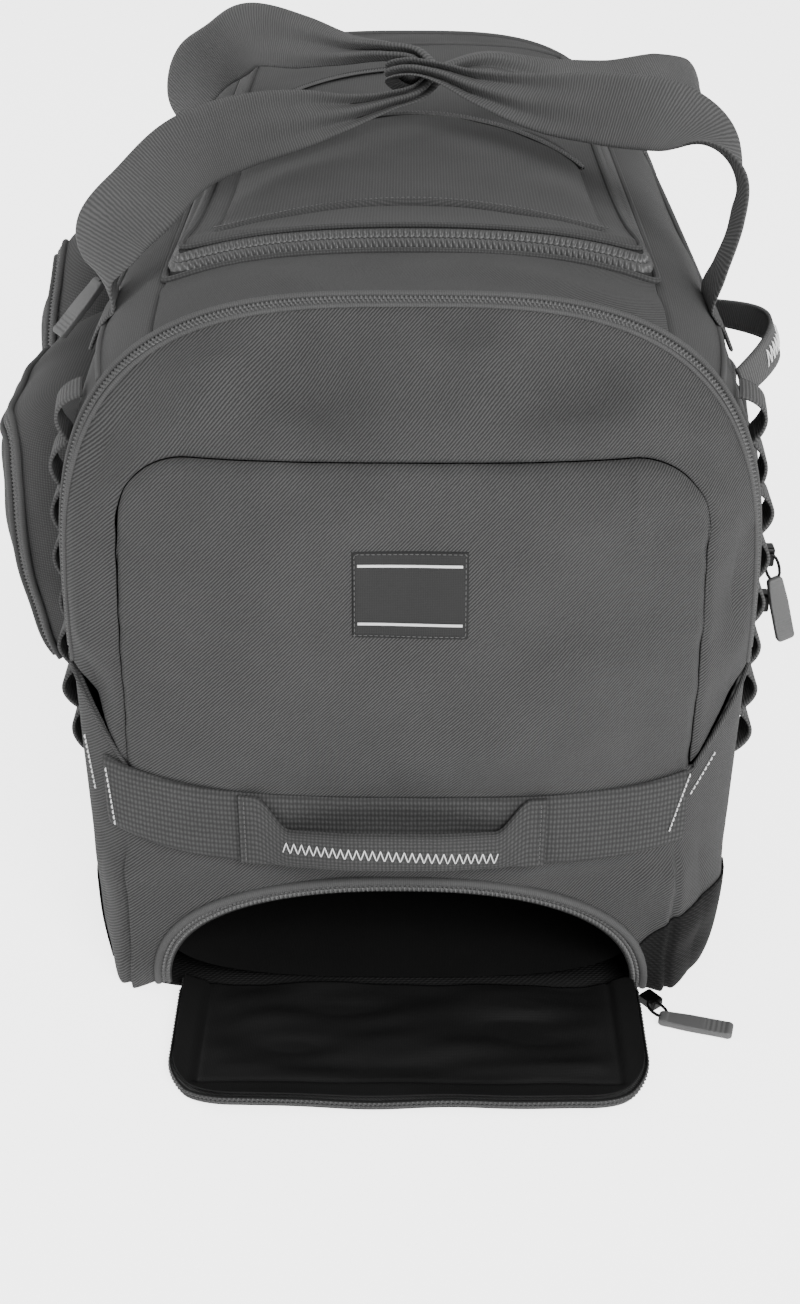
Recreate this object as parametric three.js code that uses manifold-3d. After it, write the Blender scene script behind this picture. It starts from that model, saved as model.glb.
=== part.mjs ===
// Wheeled kit bag: a soft grey sports holdall with a zipped lid, a padded near end, a low
// compartment whose mouth opens in that end, webbing handles and wheels under the far end.
// Millimetres, +Z up. The origin is on the floor under the middle of the bag, +Y runs from the
// near end to the wheeled end, and +X is to the right as seen from the near end.

import * as THREE from 'three';
import Module from 'manifold-3d';
import { mergeVertices } from 'three/addons/utils/BufferGeometryUtils.js';

const wasm = await Module();
wasm.setup();

// Driving dimensions of the body
const NEAR_RIM = -384;
const FAR_RIM = 400;
const NEAR_LEAN = 24;
const FAR_LEAN = 40;
const LEAN_HEIGHT = 390;
const RIM_SETBACK = 4;
const FAR_SETBACK = 3.2;
const WIDEST_HEIGHT = 215;
const BASE_POWER = 14;
const BASE_TUCK = 20;
const BASE_TAPER = 0.04;
const TAPER_POWER = 1.6;
const BOOT_HEIGHT = 82;
const BOOT_SHARE = 0.936;
const CLOTH = 2;
const GAP = 0.4;
const SEAM_GAP = 1.2;

// Cross-sections of the tube: half width, height and squareness of the shoulders along its length
const BODY_SECTIONS = [
  { at: -384, halfWidth: 190, height: 396, shoulderPower: 3.1 },
  { at: -300, halfWidth: 191, height: 392, shoulderPower: 4.0 },
  { at: -100, halfWidth: 191, height: 389, shoulderPower: 4.3 },
  { at: 150, halfWidth: 189, height: 387, shoulderPower: 4.3 },
  { at: 300, halfWidth: 187, height: 385, shoulderPower: 4.0 },
  { at: 400, halfWidth: 183, height: 381, shoulderPower: 3.2 },
];

// How far each end swells past its rim on the centre line, by height
const NEAR_SWELL = [
  { at: 0, depth: 48 },
  { at: 20, depth: 55 },
  { at: 140, depth: 62 },
  { at: 220, depth: 64 },
  { at: 300, depth: 52 },
  { at: 340, depth: 36 },
  { at: 368, depth: 14 },
  { at: 396, depth: 0 },
];
const FAR_SWELL = [
  { at: 60, depth: 30 },
  { at: 140, depth: 38 },
  { at: 220, depth: 40 },
  { at: 300, depth: 30 },
  { at: 350, depth: 14 },
  { at: 381, depth: 0 },
];
const SWELL_ROUNDNESS = 0.55;
const SWELL_POWER = 3;
const CORNER_POWER = 5;
const CORNER_HEIGHT = 150;

// Near end: padded panel, label, sewn band and the low mouth
const PAD = { halfWidth: 156, top: 325, bottom: 147, corner: 42, crown: 4 };
const LABEL = { halfWidth: 30, bottom: 236, top: 284, thickness: 0.8 };
const SEAM_RIM_HEIGHT = 196;
const MOUTH = { centre: -5, halfWidth: 133, height: 77, power: 2.4 };
const MOUTH_ZIP = 7;
const BAND = { halfSpan: 168, bottom: 98, top: 142, endRise: 7, bed: 1.8, thickness: 2.2 };
const GRIP = { left: -92, right: 74, folded: 20, standOff: 17, thickness: 4 };
const FLAP = { front: -530, halfWidth: 132, corner: 36, cloth: 1.6, liningInset: 7 };
const SLEEVE = { halfWidth: 136, height: 81, front: -422, rear: 336, power: 3, wall: 1.4 };

// Lid, its zip and the pockets sewn on it
const LID = { halfWidth: 123, near: -288, far: 300, bow: 28, corner: 26, cornerPower: 8 };
const LID_RAISE = { height: 11, fade: 60 };
const MAIN_ZIP = 10;
const LID_POCKET = { halfWidth: 108, near: -268, nearBow: 78, corner: 18, rear: -100, rearBow: 84, lift: 12 };
const POCKET_ZIP = 6;
const REAR_ZIP = { halfWidth: 93, side: 109, bow: 80, width: 6 };

// Pillow-shaped side pockets: span along the bag, height span, depth off the side panel, squareness
// of the fall to the seams, and how far the near part of the cover climbs above the rest
const SIDE_POCKETS = [
  { name: 'left_front_pocket', side: -1, from: -268, to: -92, top: 298, depth: 66, square: 4, climb: 0 },
  { name: 'left_rear_pocket', side: -1, from: -84, to: 262, top: 298, depth: 84, square: 2.4, climb: 44 },
  { name: 'right_pocket', side: 1, from: -318, to: 262, top: 296, depth: 15, square: 4, climb: 0 },
];
const POCKET_BOTTOM = 96;
const CLIMB_END = 72;
const CLIMB_RUN = 110;
const LOW_FULLNESS = 0.75;

// Webbing
const WEBBING = 44;
const WEBBING_THICKNESS = 2.4;
const FOOT_HEIGHTS = [334, 346, 356];
const FOOT_OFFSET = 2.8;
const FRONT_FOOT = -255;
const REAR_FOOT = 110;
const CHAIN = { setback: 12, width: 25, low: 118, high: 336, loops: 8, standOff: 10.4, thickness: 1.8 };
const SIDE_GRIP = { from: -316, to: -200, low: 322, high: 338, standOff: 26, thickness: 2.2 };

// Wheeled end
const WHEEL = { radius: 36, bore: 4.7, y: 404, x: 132, sides: 18 };
const AXLE_RADIUS = 4;
const AXLE_HOLE = 4.6;
const KICK = { height: 81.4, skin: 1.5, wall: 3, heights: [0, 8, 30, 81.4] };
const WELL = { halfWidth: 15, front: 364, rear: 460, top: 76, cheek: 6 };

// Zip pulls: a moulded tab of this size
const PULL = { length: 42, width: 11, thickness: 5, corner: 3 };

const BAG_CENTRE = new THREE.Vector3(0, 0, 190);

const GREY = 0x58585a;
const DARK_GREY = 0x39393b;
const BLACK = 0x161618;
const RUBBER = 0x4c4c4e;
const STEEL = 0x9a9a9c;

const blend = (from, to, share) => from + (to - from) * share;
const clamp = (value, low, high) => Math.min(high, Math.max(low, value));

// One row of a table at any place: each column follows a smooth curve through its rows.
function readTable(rows, at) {
  const last = rows.length - 1;
  let row = 0;
  while (row < last - 1 && at > rows[row + 1].at) {
    row += 1;
  }
  const [before, from, to, after] = [row - 1, row, row + 1, row + 2].map((i) => rows[clamp(i, 0, last)]);
  const span = to.at - from.at;
  const t = clamp((at - from.at) / span, 0, 1);
  const result = {};
  for (const column of Object.keys(from)) {
    const slopeFrom = ((to[column] - before[column]) / (to.at - before.at)) * span;
    const slopeTo = ((after[column] - from[column]) / (after.at - from.at)) * span;
    result[column] =
      from[column] * (1 + 2 * t) * (1 - t) ** 2 +
      slopeFrom * t * (1 - t) ** 2 +
      to[column] * t * t * (3 - 2 * t) +
      slopeTo * t * t * (t - 1);
  }
  return result;
}

const nearRim = (z) => NEAR_RIM + (NEAR_LEAN * z) / LEAN_HEIGHT;
const farRim = (z) => FAR_RIM - (FAR_LEAN * z) / LEAN_HEIGHT;
const taper = (z) => 1 - BASE_TAPER * (Math.max(0, WIDEST_HEIGHT - z) / WIDEST_HEIGHT) ** TAPER_POWER;

// Place along the bag as a share of the way from the near rim to the far rim at a height.
const shareAt = (y, z) => (y - nearRim(z)) / (farRim(z) - nearRim(z));

// Point on the tube at an angle round its section and a share of its length: a rounded
// superellipse above the widest height and a square-cornered, flat-bottomed one below it.
function bodyPoint(angle, share) {
  const { halfWidth, height, shoulderPower } = readTable(BODY_SECTIONS, blend(NEAR_RIM, FAR_RIM, share));
  const across = Math.cos(angle);
  const upward = Math.sin(angle);
  const power = upward >= 0 ? shoulderPower : BASE_POWER;
  const reach = (Math.abs(across) ** power + Math.abs(upward) ** power) ** (-1 / power);
  const rise = upward >= 0 ? height - WIDEST_HEIGHT : WIDEST_HEIGHT + BASE_TUCK;
  const z = Math.max(0, WIDEST_HEIGHT + rise * reach * upward);
  const x = halfWidth * taper(z) * reach * across;
  return new THREE.Vector3(x, blend(nearRim(z) + RIM_SETBACK, farRim(z) - FAR_SETBACK, share), z);
}

// Half width of the section at a height.
function halfWidthAt(z, sectionY) {
  const { halfWidth, height, shoulderPower } = readTable(BODY_SECTIONS, sectionY);
  const upper = z >= WIDEST_HEIGHT;
  const power = upper ? shoulderPower : BASE_POWER;
  const rise = upper ? height - WIDEST_HEIGHT : WIDEST_HEIGHT + BASE_TUCK;
  const level = clamp(Math.abs(z - WIDEST_HEIGHT) / rise, 0, 1);
  return halfWidth * taper(z) * (1 - level ** power) ** (1 / power);
}

// Angle round the section at which the right side reaches a height.
function angleAtHeight(z, sectionY) {
  const { halfWidth, height } = readTable(BODY_SECTIONS, sectionY);
  const rise = z >= WIDEST_HEIGHT ? height - WIDEST_HEIGHT : WIDEST_HEIGHT + BASE_TUCK;
  return Math.atan2((z - WIDEST_HEIGHT) / rise, halfWidthAt(z, sectionY) / (halfWidth * taper(z)));
}

// Angle round the section at which the upper right side is a distance off the centre plane.
function angleAtWidth(x, sectionY) {
  const { halfWidth, shoulderPower } = readTable(BODY_SECTIONS, sectionY);
  const level = (1 - (x / halfWidth) ** shoulderPower) ** (1 / shoulderPower);
  return Math.atan2(level, x / halfWidth);
}

// Point on the top of the tube above a place in plan.
function topPoint(x, y) {
  const sectionY = blend(NEAR_RIM, FAR_RIM, shareAt(y, LEAN_HEIGHT));
  const { halfWidth, height, shoulderPower } = readTable(BODY_SECTIONS, sectionY);
  const level = (1 - Math.abs(x / halfWidth) ** shoulderPower) ** (1 / shoulderPower);
  return new THREE.Vector3(x, y, WIDEST_HEIGHT + (height - WIDEST_HEIGHT) * level);
}

// Swell past a rim at a place on an end: full at the centre, falling to nothing at the rim,
// with squarer corners near the floor.
function swell(table, x, z, sectionY) {
  const low = Math.max(0, 1 - z / CORNER_HEIGHT);
  const power = SWELL_POWER + CORNER_POWER * low * low;
  const side = clamp(Math.abs(x) / halfWidthAt(z, sectionY), 0, 1);
  return readTable(table, z).depth * (1 - side ** power) ** SWELL_ROUNDNESS;
}
const nearPoint = (x, z) => new THREE.Vector3(x, nearRim(z) - swell(NEAR_SWELL, x, z, NEAR_RIM), z);
const farPoint = (x, z) => new THREE.Vector3(x, farRim(z) + swell(FAR_SWELL, x, z, FAR_RIM), z);

// Closed mesh from points and triangles, with its faces turned outwards.
function closedGeometry(points, triangles) {
  const corner = (i) => points[i];
  const volume = triangles.reduce(
    (sum, [a, b, c]) => sum + corner(a).dot(new THREE.Vector3().crossVectors(corner(b), corner(c))), 0);
  const turned = volume < 0 ? triangles.map(([a, b, c]) => [a, c, b]) : triangles;
  const geometry = new THREE.BufferGeometry();
  geometry.setAttribute('position', new THREE.Float32BufferAttribute(points.flatMap((p) => p.toArray()), 3));
  geometry.setIndex(turned.flat());
  return geometry;
}

// Unit normal of a patch, which is a surface given by two coordinates, from small steps of each.
function patchNormal(patch, a, b, step) {
  const alongA = patch(a + step, b).sub(patch(a - step, b));
  const alongB = patch(a, b + step).sub(patch(a, b - step));
  return alongA.cross(alongB).normalize();
}

// Cloth wall over part of a patch: the solid between two offsets from it, which are numbers or
// functions of the two shares, measured outwards. The place gives the patch's coordinates.
const LENGTH_STEP = 0.5;
const SHARE_STEP = 0.002;
const shares = (u, v) => [u, v];
function wall(patch, step, place, columns, rows, low, high) {
  const lowAt = typeof low === 'number' ? () => low : low;
  const highAt = typeof high === 'number' ? () => high : high;
  const middle = place(0.5, 0.5);
  const outward = patch(...middle).sub(BAG_CENTRE);
  const sign = Math.sign(patchNormal(patch, ...middle, step).dot(outward));
  const points = [];
  const triangles = [];
  const side = columns + 1;
  const layer = side * (rows + 1);
  for (const offsetAt of [lowAt, highAt]) {
    for (let j = 0; j <= rows; j += 1) {
      for (let i = 0; i <= columns; i += 1) {
        const [u, v] = [i / columns, j / rows];
        const [a, b] = place(u, v);
        const normal = patchNormal(patch, a, b, step);
        points.push(patch(a, b).addScaledVector(normal, sign * offsetAt(u, v)));
      }
    }
  }
  const quad = (a, b, c, d) => triangles.push([a, b, c], [a, c, d]);
  for (let j = 0; j < rows; j += 1) {
    for (let i = 0; i < columns; i += 1) {
      const a = j * side + i;
      quad(a, a + side, a + side + 1, a + 1);
      quad(layer + a, layer + a + 1, layer + a + side + 1, layer + a + side);
    }
  }
  for (let i = 0; i < columns; i += 1) {
    const b = rows * side + i;
    quad(i, i + 1, layer + i + 1, layer + i);
    quad(b, layer + b, layer + b + 1, b + 1);
  }
  for (let j = 0; j < rows; j += 1) {
    const a = j * side;
    const b = a + columns;
    quad(a, layer + a, layer + a + side, a + side);
    quad(b, b + side, layer + b + side, layer + b);
  }
  return closedGeometry(points, triangles);
}

// Solid through a row of closed rings with the same number of points, flat at both ends.
function loft(rings) {
  const count = rings[0].length;
  const points = rings.flat();
  const triangles = [];
  for (let ring = 0; ring < rings.length - 1; ring += 1) {
    for (let i = 0; i < count; i += 1) {
      const a = ring * count + i;
      const b = ring * count + ((i + 1) % count);
      triangles.push([a, b, b + count], [a, b + count, a + count]);
    }
  }
  const end = (rings.length - 1) * count;
  for (let i = 1; i < count - 1; i += 1) {
    triangles.push([0, i + 1, i], [end, end + i, end + i + 1]);
  }
  return closedGeometry(points, triangles);
}

const bag = new THREE.Group();

// Adds one named piece with its own material.
function addPiece(name, geometry, colour, roughness, metalness = 0) {
  const material = new THREE.MeshStandardMaterial({ color: colour, roughness, metalness });
  const mesh = new THREE.Mesh(geometry, material);
  mesh.name = name;
  bag.add(mesh);
  return mesh;
}

// Body: dark boot round the floor and the lower sides, then the two side panels
const bootAngle = angleAtHeight(BOOT_HEIGHT, 0);
const FLAT_EDGE = 158;
const FLAT_MARGIN = 14;
function bootPoint(u, v) {
  const point = bodyPoint(blend(bootAngle, -Math.PI - bootAngle, u), v * BOOT_SHARE);
  const inward = clamp((FLAT_EDGE + FLAT_MARGIN - Math.abs(point.x)) / FLAT_MARGIN, 0, 1);
  const reach = nearPoint(point.x, 0).y + GAP - bodyPoint(-Math.PI / 2, 0).y;
  point.y += inward * reach * (1 - v);
  return point;
}
addPiece('base_boot', wall(bootPoint, SHARE_STEP, shares, 24, 6, -CLOTH, 0), DARK_GREY, 0.85);

const panelTop = LID.halfWidth + MAIN_ZIP + 4 * GAP;
for (const [name, side] of [['side_panel_left', -1], ['side_panel_right', 1]]) {
  const panelPoint = (u, v) => {
    const sectionY = blend(NEAR_RIM, FAR_RIM, v);
    const bottom = angleAtHeight(BOOT_HEIGHT + GAP, sectionY);
    const point = bodyPoint(blend(bottom, angleAtWidth(panelTop, sectionY), u), v);
    point.x *= side;
    return point;
  };
  addPiece(name, wall(panelPoint, SHARE_STEP, shares, 9, 10, -CLOTH, 0), GREY, 0.8);
}

// Edge of the lid in plan, moved out by a distance: a bowed near edge with rounded corners
// and two straight sides back to the hinge seam. The share runs from right to left.
const SIDE_SHARE = 0.25;
const NEAR_COLUMNS = 16;
function lidEdge(share, out) {
  const halfWidth = LID.halfWidth + out;
  const cornerEnd = LID.near - out + LID.corner;
  if (share < SIDE_SHARE) {
    return [halfWidth, blend(LID.far, cornerEnd, share / SIDE_SHARE)];
  }
  if (share > 1 - SIDE_SHARE) {
    return [-halfWidth, blend(cornerEnd, LID.far, (share - 1 + SIDE_SHARE) / SIDE_SHARE)];
  }
  const across = Math.sin(Math.PI * (0.5 - (share - SIDE_SHARE) / (1 - 2 * SIDE_SHARE)));
  const round = 1 - (1 - Math.abs(across) ** LID.cornerPower) ** (1 / LID.cornerPower);
  return [across * halfWidth, LID.near - out + LID.bow * (1 - across * across) + LID.corner * round];
}
const nearShare = (u) => blend(SIDE_SHARE, 1 - SIDE_SHARE, u);

// Lift of the lid over the tube: full along its near edge and fading towards the hinge.
const lidRaise = (y) => LID_RAISE.height * Math.exp(-Math.max(0, y - LID.near - LID.bow) / LID_RAISE.fade);

function lidPlace(u, v) {
  const [x, y] = lidEdge(nearShare(u), 0);
  return [x, blend(y, LID.far, v * v)];
}
const lidTop = (u, v) => lidRaise(lidPlace(u, v)[1]);
addPiece('lid', wall(topPoint, LENGTH_STEP, lidPlace, NEAR_COLUMNS, 6,
  (u, v) => lidTop(u, v) - CLOTH, lidTop), GREY, 0.8);

const zipPlace = (u, v) => lidEdge(u, blend(2 * GAP, GAP + MAIN_ZIP, v));
const zipLift = (u, v) => lidRaise(zipPlace(u, 0)[1]) * (1 - v);
addPiece('main_zip', wall(topPoint, LENGTH_STEP, zipPlace, 2 * NEAR_COLUMNS, 1,
  (u, v) => zipLift(u, v) - CLOTH, (u, v) => zipLift(u, v) + 1.6), GREY, 0.55);

addPiece('near_collar', wall(topPoint, LENGTH_STEP, (u, v) => {
  const [x, y] = lidEdge(nearShare(u), MAIN_ZIP + 2 * GAP);
  const rimY = nearRim(topPoint(x, NEAR_RIM + NEAR_LEAN).z) + RIM_SETBACK + SEAM_GAP;
  return [x, blend(rimY, y, v)];
}, NEAR_COLUMNS, 3, -CLOTH, 0), GREY, 0.8);

addPiece('far_collar', wall(topPoint, LENGTH_STEP, (u, v) => {
  const x = blend(panelTop - 2 * GAP, 2 * GAP - panelTop, u);
  const rimY = farRim(topPoint(x, FAR_RIM - FAR_LEAN).z) - FAR_SETBACK - SEAM_GAP;
  return [x, blend(LID.far + GAP, rimY, v)];
}, 12, 2, -CLOTH, 0), GREY, 0.8);

// Lid pocket: a lifted panel whose rear edge is an arched zip, and a second zip behind it
const pocketRear = (x) => LID_POCKET.rear + LID_POCKET.rearBow * (1 - (x / LID_POCKET.halfWidth) ** 2);
function pocketNear(x) {
  const side = Math.min(1, Math.abs(x / LID_POCKET.halfWidth));
  const round = 1 - (1 - side ** LID.cornerPower) ** (1 / LID.cornerPower);
  return LID_POCKET.near + LID_POCKET.nearBow * (1 - side * side) + LID_POCKET.corner * round;
}
function pocketPlace(u, v) {
  const x = LID_POCKET.halfWidth * Math.sin((Math.PI / 2) * blend(1, -1, u));
  return [x, blend(pocketNear(x), pocketRear(x), v)];
}
const pocketRise = (u, v) => Math.sin(Math.PI * u) ** 1.2 * Math.sin((Math.PI / 2) * v);
const pocketLift = (u, v) => 2 * GAP + LID_POCKET.lift * pocketRise(u, v) + lidRaise(pocketPlace(u, v)[1]);
addPiece('lid_pocket', wall(topPoint, LENGTH_STEP, pocketPlace, 12, 5, pocketLift,
  (u, v) => pocketLift(u, v) + CLOTH), GREY, 0.8);

addPiece('lid_pocket_zip', wall(topPoint, LENGTH_STEP, (u, v) => {
  const [x, y] = pocketPlace(u, 1);
  return [x, y + blend(2 * GAP, 2 * GAP + POCKET_ZIP, v)];
}, 16, 1, (u) => pocketLift(u, 1), (u) => pocketLift(u, 1) + CLOTH), GREY, 0.55);

addPiece('rear_lid_zip', wall(topPoint, LENGTH_STEP, (u, v) => {
  const x = blend(REAR_ZIP.halfWidth, -REAR_ZIP.halfWidth, u);
  const arch = REAR_ZIP.bow * (1 - (x / REAR_ZIP.halfWidth) ** 2);
  return [x, REAR_ZIP.side + arch + REAR_ZIP.width * v];
}, 14, 1, GAP, GAP + 1.6), GREY, 0.55);

// Near end: D-shaped panel between the rim and the padded panel
const RIM_INSET = 0.98;
const rimAngle = (u) => {
  const start = angleAtHeight(SEAM_RIM_HEIGHT, NEAR_RIM);
  return blend(start, Math.PI - start, u);
};
function rimPlace(angle, scale) {
  const { x, z } = bodyPoint(angle, 0);
  return [x * scale, WIDEST_HEIGHT + (z - WIDEST_HEIGHT) * scale];
}

// Outline of the padded panel from its right foot over the top to its left foot.
function padOutline(share, out) {
  const halfWidth = PAD.halfWidth + out;
  const radius = PAD.corner + out;
  const shoulder = PAD.top - PAD.corner;
  const post = shoulder - PAD.bottom;
  const arc = (Math.PI / 2) * PAD.corner;
  const half = post + arc + PAD.halfWidth - PAD.corner;
  const travel = Math.min(share, 1 - share) * 2 * half;
  const side = share <= 0.5 ? 1 : -1;
  if (travel < post) {
    return [side * halfWidth, PAD.bottom + travel];
  }
  if (travel < post + arc) {
    const turn = (travel - post) / PAD.corner;
    return [side * (halfWidth - radius + radius * Math.cos(turn)), shoulder + radius * Math.sin(turn)];
  }
  return [side * (half - travel), PAD.top + out];
}

function endPanelPlace(u, v) {
  const [padX, padZ] = padOutline(u, SEAM_GAP);
  const [rimX, rimZ] = rimPlace(rimAngle(u), RIM_INSET);
  return [blend(padX, rimX, v), blend(padZ, rimZ, v)];
}
addPiece('end_panel', wall(nearPoint, LENGTH_STEP, endPanelPlace, 30, 3, -CLOTH, 0), GREY, 0.8);

addPiece('end_zip', wall((u, v) => {
  const panelEdge = nearPoint(...endPanelPlace(u, 1));
  const tubeEdge = bodyPoint(rimAngle(u), 0);
  const width = panelEdge.distanceTo(tubeEdge);
  return panelEdge.lerp(tubeEdge, blend(SEAM_GAP / width, 1 - SEAM_GAP / width, v));
}, SHARE_STEP, shares, 30, 1, -0.8, 1.4), GREY, 0.55);

const padCrown = (x, z) => {
  const across = clamp(x / PAD.halfWidth, -1, 1);
  const upward = clamp((2 * z - PAD.top - PAD.bottom) / (PAD.top - PAD.bottom), -1, 1);
  return PAD.crown * (1 - across ** 4) * (1 - upward ** 4);
};
function padPlace(u, v) {
  const across = Math.sin((Math.PI / 2) * blend(1, -1, u));
  const x = PAD.halfWidth * across;
  const corner = Math.max(0, Math.abs(x) - PAD.halfWidth + PAD.corner);
  const top = PAD.top - PAD.corner + Math.sqrt(PAD.corner ** 2 - corner ** 2);
  return [x, blend(PAD.bottom, top, v)];
}
addPiece('end_pad', wall(nearPoint, LENGTH_STEP, padPlace, 12, 6, -CLOTH,
  (u, v) => padCrown(...padPlace(u, v))), GREY, 0.8);

function labelPlace(u, v) {
  return [blend(LABEL.halfWidth, -LABEL.halfWidth, u), blend(LABEL.bottom, LABEL.top, v)];
}
const labelBed = (u, v) => padCrown(...labelPlace(u, v)) + GAP;
addPiece('label_patch', wall(nearPoint, LENGTH_STEP, labelPlace, 6, 4, labelBed,
  (u, v) => labelBed(u, v) + LABEL.thickness), DARK_GREY, 0.7);

// Lower end panel: from the arched mouth out to the rim and up to the slanted seams
function mouthPlace(u, out) {
  const angle = Math.PI * u;
  const power = 2 / MOUTH.power;
  const reach = Math.sign(Math.cos(angle)) * Math.abs(Math.cos(angle)) ** power * (MOUTH.halfWidth + out);
  const z = CLOTH + 3 * GAP + Math.sin(angle) ** power * (MOUTH.height + out - CLOTH - 3 * GAP);
  return [MOUTH.centre + reach, z];
}
const RIM_PART = 0.15;
const SEAM_PART = 0.225;
function lowerOutline(u) {
  const share = Math.min(u, 1 - u);
  const side = u <= 0.5 ? 1 : -1;
  const rimZ = SEAM_RIM_HEIGHT - 2 * GAP;
  const seamX = PAD.halfWidth + 2 * SEAM_GAP;
  const seamZ = PAD.bottom - 2 * SEAM_GAP;
  if (share < RIM_PART) {
    const z = blend(CLOTH + 3 * GAP, rimZ, share / RIM_PART);
    return [side * halfWidthAt(z, NEAR_RIM), z];
  }
  if (share < SEAM_PART) {
    const along = (share - RIM_PART) / (SEAM_PART - RIM_PART);
    return [side * blend(halfWidthAt(rimZ, NEAR_RIM), seamX, along), blend(rimZ, seamZ, along)];
  }
  return [side * seamX * (1 - (share - SEAM_PART) / (0.5 - SEAM_PART)), seamZ];
}

// At the rim the end's cloth turns back a little to meet the tube.
const TURN_POWER = 60;
const turnedIn = (x, z, sectionY) => Math.min(1, Math.abs(x) / halfWidthAt(z, sectionY)) ** TURN_POWER;
function lowerPoint(x, z) {
  const point = nearPoint(x, z);
  point.y += (RIM_SETBACK - SEAM_GAP) * turnedIn(x, z, NEAR_RIM);
  return point;
}
addPiece('lower_end_panel', wall(lowerPoint, LENGTH_STEP, (u, v) => {
  const [mouthX, mouthZ] = mouthPlace(u, MOUTH_ZIP + 2 * GAP);
  const [outX, outZ] = lowerOutline(u);
  return [blend(mouthX, outX, v), blend(mouthZ, outZ, v)];
}, 40, 3, -CLOTH, 0), GREY, 0.8);

const batZipPlace = (u, v) => mouthPlace(u, blend(GAP, MOUTH_ZIP + GAP, v));
addPiece('bat_zip', wall(nearPoint, LENGTH_STEP, batZipPlace, 40, 1, -CLOTH, 0.8), GREY, 0.55);

// Grab handle: a sewn band across the end and a second length folded into a standing grip
const bandRise = (x) => BAND.endRise * (x / BAND.halfSpan) ** 4;
addPiece('grab_band', wall(nearPoint, LENGTH_STEP, (u, v) => {
  const x = blend(BAND.halfSpan, -BAND.halfSpan, u);
  return [x, blend(BAND.bottom, BAND.top, v) + bandRise(x)];
}, 20, 1, BAND.bed, BAND.bed + BAND.thickness), GREY, 0.75);

const gripHump = (u) => Math.min(1, 1.25 * Math.sin(Math.PI * u) ** 2);
const gripBed = (u) => BAND.bed + BAND.thickness + 2 * GAP + GRIP.standOff * gripHump(u);
addPiece('grab_grip', wall(nearPoint, LENGTH_STEP, (u, v) => {
  const x = blend(GRIP.right, GRIP.left, u);
  const top = BAND.top - GRIP.folded * gripHump(u);
  return [x, blend(BAND.bottom + 1, top, v) + bandRise(x)];
}, 18, 2, gripBed, (u) => gripBed(u) + GRIP.thickness), GREY, 0.75);

// Open flap of the low mouth, lying on the floor, and the dark lining on its upper side
function flapPlace(u, v, inset) {
  const halfWidth = FLAP.halfWidth - inset;
  const x = halfWidth * Math.sin((Math.PI / 2) * blend(1, -1, u));
  const corner = Math.max(0, Math.abs(x) - halfWidth + FLAP.corner);
  const front = FLAP.front + inset + FLAP.corner - Math.sqrt(FLAP.corner ** 2 - corner ** 2);
  return [x, blend(front, nearPoint(x, 0).y - GAP, v)];
}
function flapSolid(inset, bottom) {
  const [columns, rows] = [14, 3];
  const rings = [];
  for (let i = 0; i <= columns; i += 1) {
    const upper = [];
    const lower = [];
    for (let j = 0; j <= rows; j += 1) {
      const [x, y] = flapPlace(i / columns, j / rows, inset);
      lower.push(new THREE.Vector3(x, y, bottom));
      upper.unshift(new THREE.Vector3(x, y, bottom + FLAP.cloth));
    }
    rings.push([...lower, ...upper]);
  }
  return loft(rings);
}
addPiece('bat_flap', flapSolid(0, 0), GREY, 0.8);
addPiece('bat_flap_lining', flapSolid(FLAP.liningInset, FLAP.cloth + GAP), BLACK, 0.6);

// Dark lining sleeve of the low compartment: a flat-bottomed tube, open at the mouth
function sleeveRing(y, inset, scale) {
  const sides = 20;
  const bottom = CLOTH + 2 * GAP + inset;
  const power = 2 / SLEEVE.power;
  const ring = [];
  for (let i = 0; i < sides; i += 1) {
    const angle = (2 * Math.PI * i) / sides;
    const [c, s] = [Math.cos(angle), Math.sin(angle)];
    const x = Math.sign(c) * Math.abs(c) ** power * (SLEEVE.halfWidth - inset);
    const half = (SLEEVE.height - 2 * inset) / 2;
    const z = bottom + half + Math.sign(s) * Math.abs(s) ** power * half;
    ring.push(new THREE.Vector3(MOUTH.centre + x * scale, y, blend(bottom + half, z, scale)));
  }
  return ring;
}
addPiece('bat_sleeve', loft([
  sleeveRing(SLEEVE.rear, 0, 0.05),
  sleeveRing(SLEEVE.rear, 0, 0.9),
  sleeveRing(SLEEVE.rear - 20, 0, 1),
  sleeveRing(0, 0, 1),
  sleeveRing(SLEEVE.front, 0, 1),
  sleeveRing(SLEEVE.front, SLEEVE.wall, 1),
  sleeveRing(0, SLEEVE.wall, 1),
  sleeveRing(SLEEVE.rear - 20, SLEEVE.wall, 1),
  sleeveRing(SLEEVE.rear - SLEEVE.wall, SLEEVE.wall, 0.9),
  sleeveRing(SLEEVE.rear - SLEEVE.wall, SLEEVE.wall, 0.05),
]), BLACK, 0.6);

// Far end panel above the moulded kick plate
const farStart = angleAtHeight(BOOT_HEIGHT + GAP, FAR_RIM);
function farPanelPoint(x, z) {
  const point = farPoint(x, z);
  point.y -= (FAR_SETBACK - SEAM_GAP) * turnedIn(x, z, FAR_RIM);
  return point;
}
addPiece('far_end_panel', wall(farPanelPoint, LENGTH_STEP, (u, v) => {
  const share = blend(0.02, 0.98, u);
  const arch = bodyPoint(blend(farStart, Math.PI - farStart, share), 1);
  const floorX = halfWidthAt(BOOT_HEIGHT, FAR_RIM) * (1 - 2 * share);
  return [blend(floorX, arch.x, v), blend(BOOT_HEIGHT + GAP, arch.z, v)];
}, 16, 5, -CLOTH, 0), GREY, 0.8);

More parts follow.
